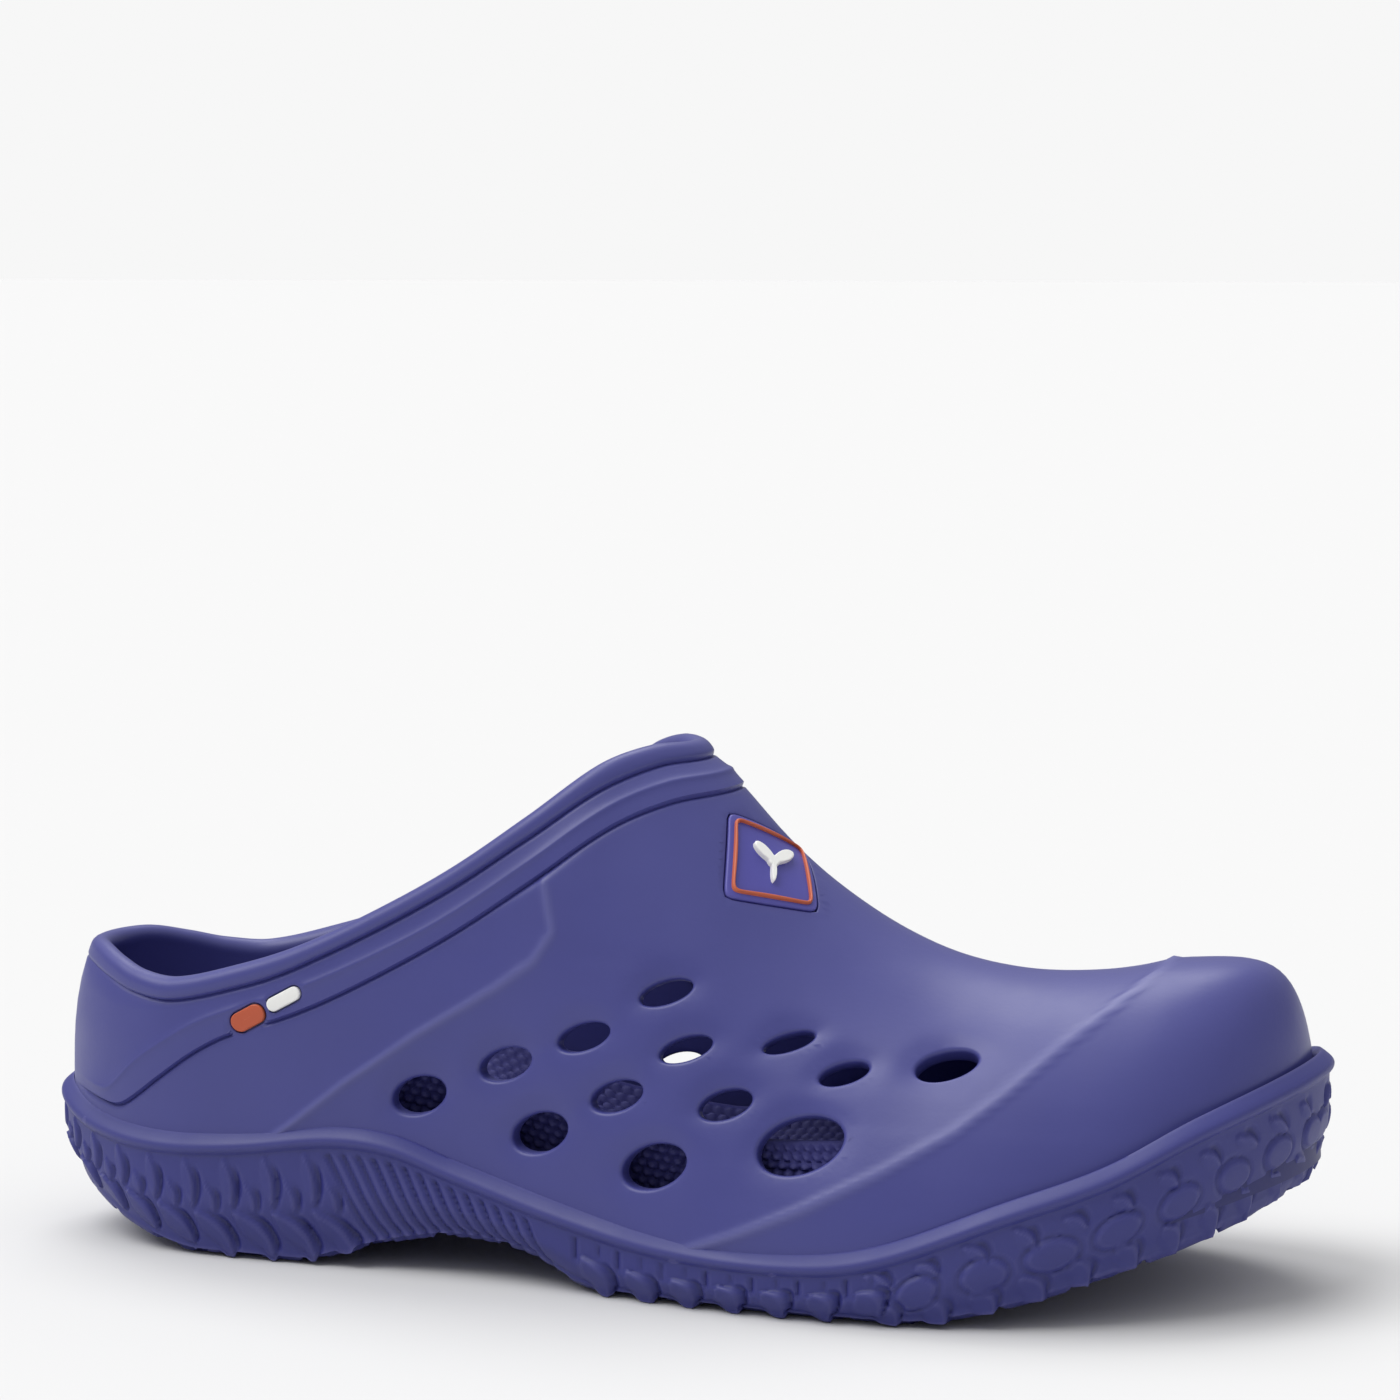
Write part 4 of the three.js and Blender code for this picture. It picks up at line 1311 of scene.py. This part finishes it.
# %% A plate with a rounded edge, bent to the skin
def bent_plate(opening, skin, reach, low, high, soften, rings=9, count=96):
    shell = Shell()
    angles = 2 * np.pi * np.arange(count) / count
    outline = reach(angles)

    def ring(radius, offset):
        a, b = radius * np.cos(angles), radius * np.sin(angles)
        return from_local(opening.place, a, b, skin(a, b) + offset)

    made = [ring(outline * share, low) for share in (0.02, 0.5, 0.9)]
    made.append(ring(outline, low))
    for turn in np.linspace(0, np.pi / 2, 6):
        pull = soften * (1 - math.cos(turn))
        made.append(ring(outline - pull, high - soften + soften * math.sin(turn)))
    for share in np.linspace(1, 0.02, rings)[1:]:
        made.append(ring((outline - soften) * share, high))
    last = chain(shell, made)
    shell.faces.append(tuple(last.tolist()))
    shell.faces.append(tuple(range(count - 1, -1, -1)))
    return shell


def bent_band(opening, skin, reach, width, low, high, count=128):
    """A closed border with a half-round top."""
    shell = Shell()
    angles = 2 * np.pi * np.arange(count) / count
    outline = reach(angles)
    rings = []
    for turn in np.linspace(0, np.pi, 9):
        offset = low + (high - low) * math.sin(turn) ** 0.7
        radius = outline - width + width / 2 * (1 + math.cos(turn))
        a, b = radius * np.cos(angles), radius * np.sin(angles)
        rings.append(from_local(opening.place, a, b, skin(a, b) + offset))
    last = chain(shell, rings)
    shell.loops(last, np.arange(count))
    return shell


# %% The badge's plate, border and sprout
def sprout_reach(radius):
    lobes = [(0.7, 1.0, 0.42), (np.pi - 0.7, 0.85, 0.42), (1.5 * np.pi, 0.75, 0.2)]

    def reach(angle):
        swell = np.zeros_like(angle)
        for at, tall, wide in lobes:
            away = np.arctan2(np.sin(angle - at), np.cos(angle - at))
            swell = np.maximum(swell, tall * np.exp(-((away / wide) ** 2)))
        return radius * (0.2 + 0.8 * swell)
    return reach


plate_proud, border_proud, sprout_proud = 0.3, 1.1, 1.5
border_inset, border_width = 1.2, 0.85
sunk = 0.2  # how far the border and the sprout reach into the plate
badge_opening = pockets[0][0]
badge_skin = badge_opening.fit(outer_skin)
plate = bent_plate(
    badge_opening, badge_skin, square_reach(badge_size / 2),
    touch_gap - badge_depth, plate_proud, 0.5)
to_object(plate, "badge_backing", "badge_blue", replaces=("badge_plate",))
border = bent_band(
    badge_opening, badge_skin, square_reach(badge_size / 2 - border_inset), border_width,
    plate_proud - sunk, border_proud)
to_object(border, "badge_border", "badge_orange", replaces=("badge_frame",))
sprout = bent_plate(
    badge_opening, badge_skin, sprout_reach(6.4), plate_proud - sunk, sprout_proud, 0.45)
to_object(sprout, "badge_sprout", "badge_white", replaces=("badge_motif",))

# %% The two bars of the side mark
mark_proud = 0.3
for mark, (opening, depth) in zip(marks, pockets[1:]):
    skin = opening.fit(outer_skin)
    outline = pill_reach(mark_length / 2, mark["width"] / 2)
    bar = bent_plate(opening, skin, outline, touch_gap - depth, mark_proud, 0.35)
    slot = "badge_orange" if "orange" in mark["name"] else "badge_white"
    to_object(bar, mark["name"] + "_bar", slot, replaces=(mark["name"],))

# %% [markdown]
# ## Stage and light
# A pale floor runs out to a pale, even sky, so the clog stands in open light with one soft key above
# and behind it. The key makes the sheen on the vamp and the soft shadow in front. What lights the
# clog is brighter overhead than at the horizon, as under a soft box, so upright sides fall darker.
# The floor's grey is chosen so that lit floor and sky are equally bright, and no horizon shows.

# %% Sky: even to the eye, brighter overhead as a lamp
sky_level = 0.93
sky_low, sky_rise = 0.24, 0.6  # what the sky gives at the horizon, and how much more overhead
world = bpy.data.worlds.new("studio sky")
world.use_nodes = True
sky = world.node_tree
seen = sky.nodes["Background"]
seen.inputs["Strength"].default_value = sky_level
given = sky.nodes.new("ShaderNodeBackground")
for shown in (seen, given):
    shown.inputs["Color"].default_value = (1, 1, 1, 1)
heading = sky.nodes.new("ShaderNodeTexCoord").outputs["Generated"]
parts = sky.nodes.new("ShaderNodeSeparateXYZ")
sky.links.new(heading, parts.inputs["Vector"])
overhead = math_node(sky, "MULTIPLY", math_node(sky, "MAXIMUM", parts.outputs["Z"], 0.0), sky_rise)
sky.links.new(math_node(sky, "ADD", overhead, sky_low), given.inputs["Strength"])
choose = sky.nodes.new("ShaderNodeMixShader")
sky.links.new(sky.nodes.new("ShaderNodeLightPath").outputs["Is Camera Ray"], choose.inputs["Fac"])
sky.links.new(given.outputs["Background"], choose.inputs[1])
sky.links.new(seen.outputs["Background"], choose.inputs[2])
sky.links.new(choose.outputs["Shader"], sky.nodes["World Output"].inputs["Surface"])
bpy.context.scene.world = world


# %% Lamps
def sun(name, strength, toward, spread):
    """A distant lamp; toward points from the clog to it. Returns what it gives the floor."""
    lamp = bpy.data.lights.new(name, "SUN")
    lamp.energy = strength
    lamp.angle = math.radians(spread)
    holder = bpy.data.objects.new(name, lamp)
    direction = Vector(toward).normalized()
    holder.rotation_euler = direction.to_track_quat("Z", "Y").to_euler()
    bpy.context.scene.collection.objects.link(holder)
    return strength * direction.z / math.pi


floor_light = sky_low + sky_rise * 2 / 3
floor_light += sun("key", 1.8, (-0.5, -0.3, 0.9), 45)
floor_light += sun("sheen", 1.0, (-0.2, 0.42, 0.85), 34)

# %% Floor
match = 1.02  # makes up for the light that the clog takes from the floor
floor_grey = match * sky_level / floor_light
floor_mesh = bpy.data.meshes.new("floor")
floor_reach = 30.0
corners = [(a * floor_reach, b * floor_reach, 0) for a, b in ((-1, -1), (1, -1), (1, 1), (-1, 1))]
floor_mesh.from_pydata(corners, [], [(0, 1, 2, 3)])
floor = bpy.data.objects.new("floor", floor_mesh)
floor.location.z = -0.0002  # just under the tread, so the two never share a plane
bpy.context.scene.collection.objects.link(floor)
paint = bpy.data.materials.new("floor paint")
paint.use_nodes = True
paint_shader = paint.node_tree.nodes["Principled BSDF"]
paint_shader.inputs["Base Color"].default_value = (floor_grey,) * 3 + (1,)
paint_shader.inputs["Roughness"].default_value = 1.0
paint_shader.inputs["Specular IOR Level"].default_value = 0.0
floor_mesh.materials.append(paint)
bpy.context.scene.view_settings.view_transform = "Standard"
print(f"floor grey {floor_grey:.2f}")

# %% [markdown]
# ## Camera
# The clog is seen from its outer side, a little from the front and from a little above, through a
# long lens about a metre away, so that its length is hardly foreshortened.

# %% Camera
def heading_to(turn, rise):
    """A direction in the world, turned from +X and raised from level."""
    return Vector((math.cos(rise) * math.cos(turn), math.cos(rise) * math.sin(turn), math.sin(rise)))


def place_camera():
    azimuth, elevation, distance = math.radians(17), math.radians(10.2), 0.925
    sensor, focal_length = 36.0, 111.0857  # millimetres
    right_by, down_by = -0.7843, 8.3057  # where the clog's middle lies on the sensor, millimetres
    look_at = Vector((0, shift[1] / metre, 0.05))
    back = heading_to(azimuth - math.pi / 2, elevation)
    pan = math.atan2(-back.y, -back.x) + math.atan2(right_by, focal_length) / math.cos(elevation)
    tilt = -elevation + math.atan2(down_by, focal_length)
    forward = heading_to(pan, tilt)
    lens = bpy.data.cameras.new("camera")
    lens.sensor_width = sensor
    lens.lens = focal_length
    lens.clip_end = 100
    camera = bpy.data.objects.new("camera", lens)
    right = forward.cross(Vector((0, 0, 1))).normalized()
    up = right.cross(forward)
    turn = Matrix((right, up, -forward)).transposed().to_4x4()
    camera.matrix_world = Matrix.Translation(look_at + back * distance) @ turn
    bpy.context.scene.collection.objects.link(camera)
    bpy.context.scene.camera = camera
    print("camera at", [round(v, 3) for v in camera.location])


place_camera()

# %% [markdown]
# ## The CAD box
# Foam may stand a little proud of the CAD model, so the CAD model's box is printed.

# %% Print the CAD box and finish
print("cad box", [[round(v, 4) for v in c] for c in cad_box])
